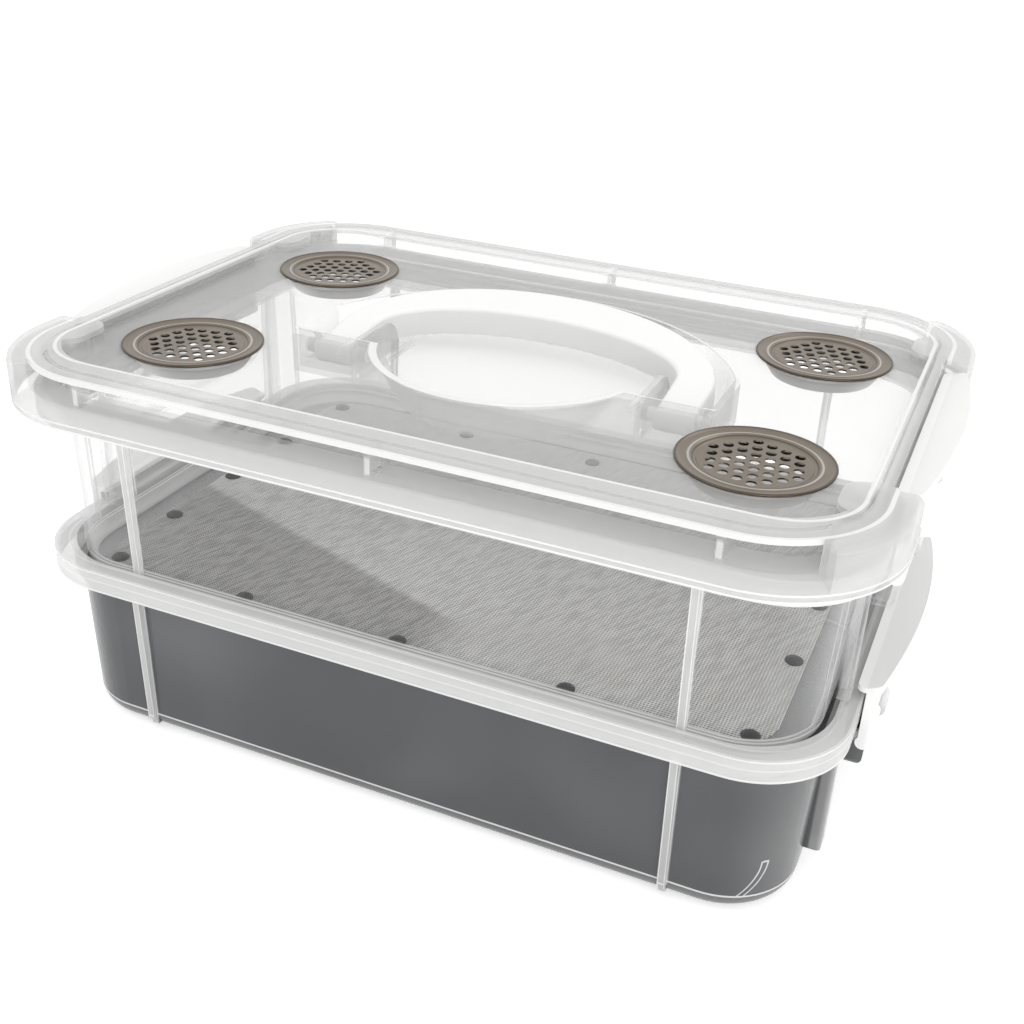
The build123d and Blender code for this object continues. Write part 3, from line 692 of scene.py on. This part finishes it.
@dataclass(frozen=True)
class CollarSteel(Surface):
    """Drawn steel of the vents' collars: pale outside, and a painted shade inside, in dark brown."""

    outside: tuple = colour(0.62, 0.61, 0.59)
    # The colour of the painted shade inside the collar.
    inside: tuple = colour(0.022, 0.017, 0.013)
    top_radius: float = 26.5
    foot_radius: float = 22.5
    foot_level: float = 160.4
    slope: float = 4.0 / 5.8

    def pattern(self, finish: Finish, effects: Effects) -> None:
        """Wire the pale outside and the painted shade of the dark brown inside.

        Args:
            finish: the material to wire.
            effects: the shared node groups.
        """
        wire = finish.wire
        rings = finish.group(effects.turned, Ring_Scale=1.4)
        _, _, z = wire.place()
        rise = wire.math("SUBTRACT", z, self.foot_level)
        flare = wire.math("MULTIPLY_ADD", rise, self.slope, self.foot_radius)
        radius = wire.math("MINIMUM", flare, self.top_radius)
        beyond = wire.step(wire.math("SUBTRACT", rings.outputs["Distance"], radius), -0.45, -0.2)
        worn = wire.math("MULTIPLY_ADD", rings.outputs[0], 0.3, 0.7)
        # Painted shade: the inside takes the dark brown and loses its metal.
        finish.feed("Base Color", wire.blend(wire.all_of(beyond, worn), self.inside, self.outside))
        finish.feed("Metallic", wire.math("MULTIPLY", beyond, 0.8))
        finish.feed("Roughness", wire.math("MULTIPLY_ADD", rings.outputs[0], 0.2, 0.3))
        finish.bump(rings.outputs[0], 0.1, 0.15 * MM)


@dataclass(frozen=True)
class WovenSteel(Surface):
    """Drawn wire of the screen, with a painted shade over the part that stands in the shade."""

    tone: tuple = colour(0.92, 0.92, 0.90)
    dark: tuple = colour(0.30, 0.30, 0.29)
    streak: tuple = (0.7, 0.08)
    slant: float = -19.4
    shade_start: float = -67.0
    shade_end: float = -73.0

    def pattern(self, finish: Finish, effects: Effects) -> None:
        """Wire the streaks of the weave and the painted shade over its shaded part.

        Args:
            finish: the material to wire.
            effects: the shared node groups.
        """
        wire = finish.wire
        grain = finish.group(effects.grain, Mottle_Scale=11.0, Grain_Scale=900.0)
        x, y, _ = wire.place()
        angle = math.radians(self.slant)
        across = wire.math("MULTIPLY_ADD", x, -math.sin(angle), wire.math("MULTIPLY", y, math.cos(angle)))
        along = wire.math("MULTIPLY_ADD", x, math.cos(angle), wire.math("MULTIPLY", y, math.sin(angle)))
        spread = wire.vector(wire.math("MULTIPLY", along, self.streak[0]),
                             wire.math("MULTIPLY", across, self.streak[1]))
        streaks = wire.add("ShaderNodeTexNoise", {"Vector": spread, "Scale": 1.0, "Detail": 1.0})
        # Painted shade: darker past a slanted line and left of the middle.
        shaded = wire.all_of(wire.step(across, self.shade_start, self.shade_end),
                             wire.step(x, 25.0, -5.0), 0.5)
        shade = wire.math("MULTIPLY_ADD", wire.step(streaks.outputs[0], 0.42, 0.62), 0.26, shaded)
        shade = wire.math("MULTIPLY_ADD", grain.outputs[0], 0.12, shade)
        finish.feed("Base Color", wire.blend(shade, self.tone, self.dark))
        finish.feed("Roughness", wire.math("MULTIPLY_ADD", grain.outputs[0], 0.2, 0.3))
        finish.feed("Metallic", 0.25)
        finish.bump(grain.outputs[1], 0.1, 0.1 * MM)


@dataclass(frozen=True)
class BlackPlastic(Surface):
    """Black moulded plastic of the rivets."""

    tone: tuple = colour(0.008, 0.008, 0.009)
    dust: tuple = colour(0.022, 0.022, 0.021)

    def pattern(self, finish: Finish, effects: Effects) -> None:
        """Wire the grain and a little dust.

        Args:
            finish: the material to wire.
            effects: the shared node groups.
        """
        wire = finish.wire
        grain = finish.group(effects.grain, Mottle_Scale=120.0, Grain_Scale=2500.0)
        finish.feed("Base Color", wire.blend(grain.outputs[0], self.tone, self.dust))
        finish.feed("Roughness", wire.math("MULTIPLY_ADD", grain.outputs[0], 0.2, 0.35))
        finish.bump(grain.outputs[1], 0.2, 0.2 * MM)


class Finishes:
    """Every material of the box."""

    def __init__(self) -> None:
        """Build the shared effects and the materials."""
        effects = Effects()
        clear = colour(0.84, 0.845, 0.845)
        frost = colour(0.82, 0.82, 0.815)
        smoke = colour(0.078, 0.080, 0.084)
        milk = colour(0.63, 0.63, 0.62)
        self.smoky = ClearPlastic("smoky_plastic", Moulding.TUB, smoke, frost, body_haze=0.93,
                                  thick_haze=0.48, flat_haze=0.93, edge_haze=0.4, painted_highlight_haze=0.7,
                                  painted_light_gain=0.22, lower_box=True).build(effects)
        self.clear = ClearPlastic("clear_plastic", Moulding.TUB, clear, frost, body_haze=0.006,
                                  thick_haze=0.44, flat_haze=0.16, edge_haze=0.46, edge_power=2.2,
                                  painted_highlight_haze=0.8, base=73.3).build(effects)
        self.frosted = ClearPlastic("frosted_plastic", Moulding.LID, milk, frost, body_haze=0.09,
                                    thick_haze=0.46, flat_haze=0.02, edge_haze=0.42, painted_highlight_haze=0.8,
                                    roughness=0.5, specular=0.25).build(effects)
        self.white = WhitePlastic("white_plastic").build(effects)
        self.steel = TurnedSteel("stainless_steel").build(effects)
        self.collar = CollarSteel("collar_steel").build(effects)
        self.mesh = WovenSteel("steel_mesh").build(effects)
        self.black = BlackPlastic("black_plastic").build(effects)


class GeometryTree:
    """A Geometry Nodes tree with named sizes, run once on a base mesh."""

    def __init__(self, name: str, sizes: dict) -> None:
        """Make the tree.

        Args:
            name: the tree's name.
            sizes: each named input's value.
        """
        self.sizes = sizes
        self.tree = bpy.data.node_groups.new(name, "GeometryNodeTree")
        face = self.tree.interface
        face.new_socket("Geometry", in_out="INPUT", socket_type="NodeSocketGeometry")
        for key in sizes:
            face.new_socket(key, in_out="INPUT", socket_type="NodeSocketFloat")
        face.new_socket("Geometry", in_out="OUTPUT", socket_type="NodeSocketGeometry")
        self.wire = Wiring(self.tree)
        self.given = self.wire.add("NodeGroupInput")

    def join(self, *parts: bpy.types.NodeSocket) -> bpy.types.NodeSocket:
        """Join several geometries into one."""
        node = self.wire.add("GeometryNodeJoinGeometry")
        for part in parts:
            self.tree.links.new(part, node.inputs[0])
        return node.outputs[0]

    def end(self, geometry: bpy.types.NodeSocket, material: bpy.types.Material) -> None:
        """Close the tree with Realize Instances and Set Material."""
        real = self.wire.add("GeometryNodeRealizeInstances", {0: geometry})
        dressed = self.wire.add("GeometryNodeSetMaterial", {"Geometry": real.outputs[0],
                                                            "Material": material})
        self.wire.add("NodeGroupOutput", {0: dressed.outputs[0]})

    def run(self, name: str, base: bpy.types.Mesh) -> bpy.types.Object:
        """Apply the tree to a base mesh and keep the result as a plain mesh.

        Args:
            name: the new piece's name.
            base: the mesh that enters the tree.

        Returns:
            The piece, with no modifier left on it.
        """
        piece = bpy.data.objects.new(name, base)
        bpy.context.scene.collection.objects.link(piece)
        modifier = piece.modifiers.new(name, "NODES")
        modifier.node_group = self.tree
        for item in self.tree.interface.items_tree:
            if item.in_out == "INPUT" and item.name in self.sizes:
                modifier[item.identifier] = float(self.sizes[item.name])
        graph = bpy.context.evaluated_depsgraph_get()
        result = bpy.data.meshes.new_from_object(piece.evaluated_get(graph))
        piece.modifiers.remove(modifier)
        piece.data = result
        return piece


def lathe(name: str, profile: list, centre: Vector, turns: int, solid: bool = False) -> bpy.types.Mesh:
    """Turn a profile about a vertical axis.

    Args:
        name: the mesh's name.
        profile: (radius, height) pairs in metres, in order round the section.
        centre: where the axis meets the profile's zero height.
        turns: how many flats one turn has.
        solid: whether the profile starts and ends on the axis, instead of closing on itself.

    Returns:
        The closed form.
    """
    shape = bmesh.new()
    rings = []
    for i in range(turns):
        angle = 2.0 * math.pi * i / turns
        spot = [centre + Vector((r * math.cos(angle), r * math.sin(angle), z)) for r, z in profile]
        rings.append([shape.verts.new(point) for point in spot])
    count = len(profile)
    for i in range(turns):
        here, there = rings[i], rings[(i + 1) % turns]
        for j in range(count - solid):
            k = (j + 1) % count
            shape.faces.new((here[j], there[j], there[k], here[k]))
    bmesh.ops.remove_doubles(shape, verts=shape.verts, dist=0.001 * MM)
    bmesh.ops.recalc_face_normals(shape, faces=shape.faces)
    for face in shape.faces:
        face.smooth = True
    mesh = bpy.data.meshes.new(name)
    shape.to_mesh(mesh)
    shape.free()
    return mesh


@dataclass
class VentCap:
    """One pierced steel disc: rolled edge, dished flange, bead and a field of holes."""

    corner: Corner
    turn: float
    seat: float = 168.4
    radius: float = 30.0
    field_radius: float = 21.6
    sheet: float = 0.7
    dish: float = 1.0
    roll: float = 0.62
    roll_steps: int = 8
    hole_radius: float = 2.05
    pitch: float = 6.2
    rows: int = 3
    from_middle_x: float = 123.2
    from_middle_y: float = 61.8

    @property
    def centre(self) -> Vector:
        """The middle of the cap on the lid's panel."""
        x, y = self.corner.value
        return Vector((x * self.from_middle_x, y * self.from_middle_y, self.seat)) * MM

    def flange(self) -> bpy.types.Mesh:
        """The ring outside the field of holes.

        Returns:
            A turned mesh with a rolled edge and a bead.
        """
        inside = self.field_radius - 0.1
        flange = [(22.4, -0.22), (23.2, 0.02), (23.8, 0.42), (24.3, 0.66), (24.9, 0.66),
                  (25.5, 0.46), (26.4, 0.42), (27.6, 0.52), (28.4, 0.66)]
        foot = [(28.6, 0.02), (24.0, 0.0), (23.2, -0.6), (22.4, -0.9)]
        rolled = []
        for i in range(self.roll_steps + 1):
            angle = math.radians(130.0 - 260.0 * i / self.roll_steps)
            rolled.append((self.radius - self.roll * (1.0 - math.cos(angle)),
                           0.02 + self.roll * (1.0 + math.sin(angle))))
        profile = [(inside, self.sheet - self.dish), *flange, *rolled, *foot, (inside, -self.dish)]
        return lathe("vent_flange", [(r * MM, z * MM) for r, z in profile], self.centre, 128)

    def tree(self, material: bpy.types.Material) -> GeometryTree:
        """The nodes that add the pierced field inside the flange.

        Args:
            material: the steel.

        Returns:
            The tree, ready to run on the flange.
        """
        sizes = {"Field Radius": self.field_radius * MM, "Hole Radius": self.hole_radius * MM,
                 "Pitch": self.pitch * MM, "Sheet": self.sheet * MM, "Turn": math.radians(self.turn),
                 "Centre X": self.centre.x, "Centre Y": self.centre.y,
                 "Top": self.centre.z - (self.dish - self.sheet) * MM}
        built = GeometryTree("pierced_field", sizes)
        wire, given = built.wire, built.given.outputs
        side = 2 * self.rows
        grid = wire.add("GeometryNodeMeshGrid", {"Size X": float(side), "Size Y": float(side),
                                                 "Vertices X": side + 1, "Vertices Y": side + 1})
        spot = wire.add("ShaderNodeSeparateXYZ", {0: wire.add("GeometryNodeInputPosition").outputs[0]})
        column, row = spot.outputs[0], spot.outputs[1]
        across = wire.math("ABSOLUTE", wire.math("ADD", column, row))
        outside = wire.math("GREATER_THAN", across, self.rows + 0.5)
        kept = wire.add("GeometryNodeDeleteGeometry", {"Geometry": grid.outputs[0], "Selection": outside})
        x = wire.math("MULTIPLY", wire.math("MULTIPLY_ADD", row, 0.5, column), given["Pitch"])
        y = wire.math("MULTIPLY", wire.math("MULTIPLY", row, math.sqrt(0.75)), given["Pitch"])
        moved = wire.add("GeometryNodeSetPosition", {"Geometry": kept.outputs[0],
                                                     "Position": wire.vector(x, y)})
        circle = "GeometryNodeCurvePrimitiveCircle"
        hole = wire.add(circle, {"Resolution": 28, "Radius": given["Hole Radius"]})
        holes = wire.add("GeometryNodeInstanceOnPoints", {"Points": moved.outputs[0],
                                                          "Instance": hole.outputs[0]})
        real = wire.add("GeometryNodeRealizeInstances", {0: holes.outputs[0]})
        edge = wire.add(circle, {"Resolution": 128, "Radius": given["Field Radius"]})
        curves = built.join(edge.outputs[0], real.outputs[0])
        face = wire.add("GeometryNodeFillCurve", {"Curve": curves})
        below = wire.math("MULTIPLY", given["Sheet"], -1.0)
        thick = wire.add("GeometryNodeExtrudeMesh", {"Mesh": face.outputs[0], "Offset": (0.0, 0.0, 1.0),
                                                     "Offset Scale": below, "Individual": False})
        shell = built.join(thick.outputs[0], face.outputs[0])
        where = wire.vector(given["Centre X"], given["Centre Y"], given["Top"])
        placed = wire.add("GeometryNodeTransform", {"Geometry": shell, "Translation": where,
                                                    "Rotation": wire.vector(0.0, 0.0, given["Turn"])})
        merged = wire.add("GeometryNodeMergeByDistance", {"Geometry": placed.outputs[0],
                                                          "Distance": 0.001 * MM})
        flat = wire.add("GeometryNodeSetShadeSmooth", {0: merged.outputs[0], "Shade Smooth": False})
        built.end(built.join(flat.outputs[0], given["Geometry"]), material)
        return built

    def build(self, material: bpy.types.Material) -> bpy.types.Object:
        """Make the cap in place of its frame node.

        Args:
            material: the steel.

        Returns:
            The finished piece.
        """
        piece = self.tree(material).run(f"pierced_cap_{self.corner.word}", self.flange())
        shape = bmesh.new()
        shape.from_mesh(piece.data)
        bmesh.ops.recalc_face_normals(shape, faces=shape.faces)
        shape.to_mesh(piece.data)
        shape.free()
        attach(piece, "lid")
        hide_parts(f"vent_cap_{self.corner.word}")
        LOG.info("vent cap %s: %d faces", self.corner.word, len(piece.data.polygons))
        return piece


@dataclass
class Mouldings:
    """The frame's own mouldings, which keep their shape and get their finish."""

    lower: tuple = ("lower_box",)
    clear: tuple = ("upper_tray",)
    frosted: tuple = ("lid",)
    white: tuple = ("handle", "tray_latch_left", "tray_latch_right", "lid_latch_left", "lid_latch_right")
    collars: tuple = tuple(f"vent_collar_{corner.word}" for corner in Corner)

    def dress(self, nodes: dict, finishes: Finishes) -> None:
        """Give each moulding its material.

        Args:
            nodes: the frame's objects by name.
            finishes: the materials.
        """
        for names, material in ((self.lower, finishes.smoky), (self.clear, finishes.clear),
                                (self.frosted, finishes.frosted), (self.white, finishes.white),
                                (self.collars, finishes.collar)):
            for name in names:
                paint(nodes[name], material)


@dataclass
class Screen:
    """The sifting floor: crossing wires cut to a sheet with round corners."""

    length: float = 303.0
    width: float = 213.0
    corner: float = 20.0
    level: float = 75.7
    wire_radius: float = 0.25
    sheet: float = 0.8
    pitch: float = 1.3

    def layer(self, built: GeometryTree, run: str, stack: str, turn: float,
              lift: float) -> bpy.types.NodeSocket:
        """Lay one set of parallel wires.

        Args:
            built: the tree to add to.
            run: the input that holds the wires' length.
            stack: the input that holds the width they fill.
            turn: the wires' direction about Z, in radians.
            lift: 1 for the upper layer and -1 for the lower.

        Returns:
            The layer's wires as instances.
        """
        wire, given = built.wire, built.given.outputs
        half_run = wire.math("MULTIPLY", given[run], 0.5)
        half_stack = wire.math("MULTIPLY", given[stack], 0.5)
        first = wire.math("SUBTRACT", given["Wire Radius"], half_stack)
        last = wire.math("SUBTRACT", half_stack, given["Wire Radius"])
        row = wire.add("GeometryNodeMeshLine", {"Count": wire.math("DIVIDE", given[stack], given["Pitch"]),
                                                "Start Location": wire.vector(0.0, first),
                                                "Offset": wire.vector(0.0, last)}, mode="END_POINTS")
        here = wire.add("ShaderNodeSeparateXYZ", {0: wire.add("GeometryNodeInputPosition").outputs[0]})
        reach = wire.math("SUBTRACT", wire.math("ABSOLUTE", here.outputs[1]), half_stack)
        into = wire.math("MAXIMUM", wire.math("ADD", reach, given["Corner"]), 0.0)
        square = wire.math("SUBTRACT", wire.math("POWER", given["Corner"], 2.0),
                           wire.math("POWER", into, 2.0))
        short = wire.math("SUBTRACT", given["Corner"], wire.math("SQRT", wire.math("MAXIMUM", square, 0.0)))
        ratio = wire.math("DIVIDE", wire.math("SUBTRACT", half_run, short), half_run)
        start = wire.vector(wire.math("MULTIPLY", half_run, -1.0))
        path = wire.add("GeometryNodeCurvePrimitiveLine", {"Start": start, "End": wire.vector(half_run)})
        section = wire.add("GeometryNodeCurvePrimitiveCircle", {"Resolution": 6,
                                                                "Radius": given["Wire Radius"]})
        rod = wire.add("GeometryNodeCurveToMesh", {"Curve": path.outputs[0], "Fill Caps": True,
                                                   "Profile Curve": section.outputs[0]})
        rods = wire.add("GeometryNodeInstanceOnPoints", {"Points": row.outputs[0], "Instance": rod.outputs[0],
                                                         "Scale": wire.vector(ratio, 1.0, 1.0)})
        height = wire.math("SUBTRACT", wire.math("MULTIPLY", given["Sheet"], 0.5), given["Wire Radius"])
        height = wire.math("MULTIPLY_ADD", height, lift, given["Level"])
        placed = wire.add("GeometryNodeTransform", {"Geometry": rods.outputs[0],
                                                    "Translation": wire.vector(0.0, 0.0, height),
                                                    "Rotation": (0.0, 0.0, turn)})
        return placed.outputs[0]

    def build(self, material: bpy.types.Material) -> bpy.types.Object:
        """Make the wires in place of the frame's plain sheet.

        Args:
            material: the wire's steel.

        Returns:
            The finished piece.
        """
        sizes = {"Length": self.length * MM, "Width": self.width * MM, "Corner": self.corner * MM,
                 "Level": self.level * MM, "Wire Radius": self.wire_radius * MM, "Pitch": self.pitch * MM,
                 "Sheet": self.sheet * MM}
        built = GeometryTree("woven_wires", sizes)
        layers = built.join(self.layer(built, "Length", "Width", 0.0, 1.0),
                            self.layer(built, "Width", "Length", 0.5 * math.pi, -1.0))
        built.end(layers, material)
        piece = built.run("sifting_wires", bpy.data.meshes.new("sifting_wires"))
        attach(piece, "upper_tray")
        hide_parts("mesh_floor")
        LOG.info("sifting wires: %d faces", len(piece.data.polygons))
        return piece


@dataclass
class Rivets:
    """The sixteen domed rivets that hold the screen to the tray's ledge."""

    level: float = 76.1
    head_radius: float = 3.8
    head_height: float = 2.0
    shank_radius: float = 1.6
    grip: float = 2.8
    tail_radius: float = 2.9
    tail_height: float = 1.2
    end_x: float = 146.5
    front_y: float = -102.5
    back_y: float = 95.5
    corner_inset: float = 3.5
    step_x: float = 73.25
    step_y: float = 47.75
    shift_front: float = -2.5
    shift_back: float = 8.0
    shift_left: float = -7.0
    shift_right: float = 6.0

    def rivet(self) -> bpy.types.Mesh:
        """One rivet: domed head, shank and flattened tail."""
        sphere = (self.head_radius ** 2 + (0.75 * self.head_height) ** 2) / (1.5 * self.head_height)
        spread = math.asin(self.head_radius / sphere)
        profile = []
        for i in range(6):
            angle = spread * i / 5.0
            profile.append((sphere * math.sin(angle), self.head_height - sphere * (1.0 - math.cos(angle))))
        foot = -self.grip - self.tail_height
        profile += [(self.head_radius, 0.0), (self.shank_radius, 0.0), (self.shank_radius, -self.grip),
                    (self.tail_radius, -self.grip), (self.tail_radius, foot), (0.0, foot)]
        return lathe("rivet", [(r * MM, z * MM) for r, z in profile], Vector((0.0, 0.0, 0.0)), 24, solid=True)

    def build(self, material: bpy.types.Material) -> bpy.types.Object:
        """Set a rivet at each of its places, in place of the frame's own.

        Args:
            material: the black plastic.

        Returns:
            The finished piece.
        """
        corner_x = self.end_x - self.corner_inset
        rows = {"front": (self.shift_front - self.step_x, self.front_y, self.step_x, 0.0, 3),
                "back": (self.shift_back - self.step_x, self.back_y, self.step_x, 0.0, 3),
                "left": (-self.end_x, self.shift_left - self.step_y, 0.0, self.step_y, 3),
                "right": (self.end_x, self.shift_right - self.step_y, 0.0, self.step_y, 3),
                "front corners": (-corner_x, self.front_y + self.corner_inset, 2.0 * corner_x, 0.0, 2),
                "back corners": (-corner_x, self.back_y, 2.0 * corner_x, 0.0, 2)}
        sizes = {"Level": self.level * MM}
        for side, (x, y, step_x, step_y, _) in rows.items():
            sizes |= {f"{side} x": x * MM, f"{side} y": y * MM, f"{side} step x": step_x * MM,
                      f"{side} step y": step_y * MM}
        built = GeometryTree("rivet_rows", sizes)
        wire, given = built.wire, built.given.outputs
        lines = []
        for side, row in rows.items():
            start = wire.vector(given[f"{side} x"], given[f"{side} y"], given["Level"])
            step = wire.vector(given[f"{side} step x"], given[f"{side} step y"])
            line = wire.add("GeometryNodeMeshLine", {"Count": row[-1], "Start Location": start,
                                                     "Offset": step})
            lines.append(line.outputs[0])
        rivets = wire.add("GeometryNodeInstanceOnPoints", {"Points": built.join(*lines),
                                                           "Instance": given["Geometry"]})
        built.end(rivets.outputs[0], material)
        piece = built.run("domed_rivets", self.rivet())
        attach(piece, "upper_tray")
        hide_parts("mesh_rivets")
        LOG.info("domed rivets: %d faces", len(piece.data.polygons))
        return piece


def paint(piece: bpy.types.Object, material: bpy.types.Material) -> None:
    """Put one material on every slot of a piece.

    Args:
        piece: the object to paint.
        material: its material.
    """
    if not piece.material_slots:
        piece.data.materials.append(material)
    for place in piece.material_slots:
        place.material = material
    LOG.info("%s: %s", piece.name, material.name)


@dataclass
class Studio:
    """White studio: floor, world, lamps and the camera at the photograph's angle."""

    azimuth: float = 22.29
    elevation: float = 27.35
    roll: float = 2.8
    lens: float = 45.77
    camera_at: tuple = (0.20627, -0.49606, 0.36679)
    world_light: float = 0.9
    floor_lift: float = 0.46
    floor_reach: float = 4.0
    floor_drop: float = 0.0002
    lamps: tuple = (("key_lamp", (-0.55, -0.55, 1.1), 0.7, 1.2), ("fill_lamp", (0.85, -1.0, 0.35), 0.9, 4.8),
                    ("back_lamp", (0.6, 0.7, 1.0), 0.6, 1.0))

    def floor(self) -> None:
        """Lay a pale floor that keeps the box's shadow."""
        mesh = bpy.data.meshes.new("studio_floor")
        corners = [(x * self.floor_reach, y * self.floor_reach, -self.floor_drop)
                   for x, y in ((-1, -1), (1, -1), (1, 1), (-1, 1))]
        mesh.from_pydata(corners, [], [(0, 1, 2, 3)])
        ground = bpy.data.objects.new("studio_floor", mesh)
        bpy.context.scene.collection.objects.link(ground)
        material = bpy.data.materials.new("studio_floor")
        material.use_nodes = True
        wire = Wiring(material.node_tree)
        shader = material.node_tree.nodes["Principled BSDF"]
        shader.inputs["Base Color"].default_value = colour(0.93, 0.93, 0.93)
        shader.inputs["Roughness"].default_value = 0.9
        shader.inputs["Specular IOR Level"].default_value = 0.1
        seen = self.seen(wire)
        lift = wire.add("ShaderNodeEmission", {"Strength": wire.math("MULTIPLY", seen, self.floor_lift)})
        both = wire.add("ShaderNodeAddShader", {0: shader.outputs[0], 1: lift.outputs[0]})
        wire.tree.links.new(both.outputs[0], material.node_tree.nodes["Material Output"].inputs[0])
        mesh.materials.append(material)

    @staticmethod
    def seen(wire: Wiring) -> bpy.types.NodeSocket:
        """1 where the camera, a gloss or clear glass sees the studio.

        Args:
            wire: the tree to add to.

        Returns:
            The mask's socket.
        """
        path = wire.add("ShaderNodeLightPath")
        mask = path.outputs[Ray.CAMERA.value]
        for ray in (Ray.GLOSSY, Ray.TRANSMISSION):
            mask = wire.math("MAXIMUM", mask, path.outputs[ray.value])
        return mask

    def world(self) -> None:
        """Make a plain white world that lights the box softly."""
        world = bpy.data.worlds.new("studio")
        world.use_nodes = True
        bpy.context.scene.world = world
        wire = Wiring(world.node_tree)
        shader = world.node_tree.nodes["Background"]
        shader.inputs[0].default_value = colour(1.0, 1.0, 1.0)
        wire.tree.links.new(wire.mix(self.seen(wire), self.world_light, 1.0), shader.inputs[1])

    def lamp(self, name: str, spot: tuple, size: float, power: float) -> None:
        """Hang a square soft lamp that points at the box.

        Args:
            name: the lamp's name.
            spot: where it hangs, in metres.
            size: its side, in metres.
            power: its power, in watts.
        """
        light = bpy.data.lights.new(name, "AREA")
        light.size = size
        light.energy = power
        lamp = bpy.data.objects.new(name, light)
        bpy.context.scene.collection.objects.link(lamp)
        aim = Vector((0.0, 0.0, 0.1)) - Vector(spot)
        lamp.matrix_world = Matrix.Translation(spot) @ aim.to_track_quat("-Z", "Y").to_matrix().to_4x4()

    def camera(self) -> None:
        """Set the camera where the photograph was taken from."""
        azimuth, elevation, roll = (math.radians(a) for a in (self.azimuth, self.elevation, self.roll))
        ahead = Vector((-math.sin(azimuth) * math.cos(elevation), math.cos(azimuth) * math.cos(elevation),
                        -math.sin(elevation)))
        right = Vector((math.cos(azimuth), math.sin(azimuth), 0.0))
        above = right.cross(ahead)
        across = math.cos(roll) * right + math.sin(roll) * above
        upward = -math.sin(roll) * right + math.cos(roll) * above
        data = bpy.data.cameras.new("photo_camera")
        data.lens = self.lens
        data.sensor_width = 36.0
        camera = bpy.data.objects.new("photo_camera", data)
        bpy.context.scene.collection.objects.link(camera)
        turn = Matrix((across, upward, -ahead)).transposed().to_4x4()
        camera.matrix_world = Matrix.Translation(self.camera_at) @ turn
        bpy.context.scene.camera = camera

    def build(self) -> None:
        """Set up the whole studio."""
        self.floor()
        self.world()
        for name, spot, size, power in self.lamps:
            self.lamp(name, spot, size, power)
        self.camera()
        scene = bpy.context.scene
        scene.view_settings.view_transform = "Standard"
        scene.cycles.transparent_max_bounces = 48


def main() -> None:
    """Load the frame, dress every piece and set the studio."""
    logging.basicConfig(level=logging.INFO, format="%(name)s: %(message)s")
    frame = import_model()
    finishes = Finishes()
    Mouldings().dress(frame["nodes"], finishes)
    Screen().build(finishes.mesh)
    Rivets().build(finishes.black)
    turns = {Corner.FRONT_LEFT: 12.0, Corner.FRONT_RIGHT: 40.0, Corner.BACK_LEFT: 25.0,
             Corner.BACK_RIGHT: 52.0}
    for corner, turn in turns.items():
        VentCap(corner, turn).build(finishes.steel)
    Studio().build()


if __name__ == "__main__":
    main()
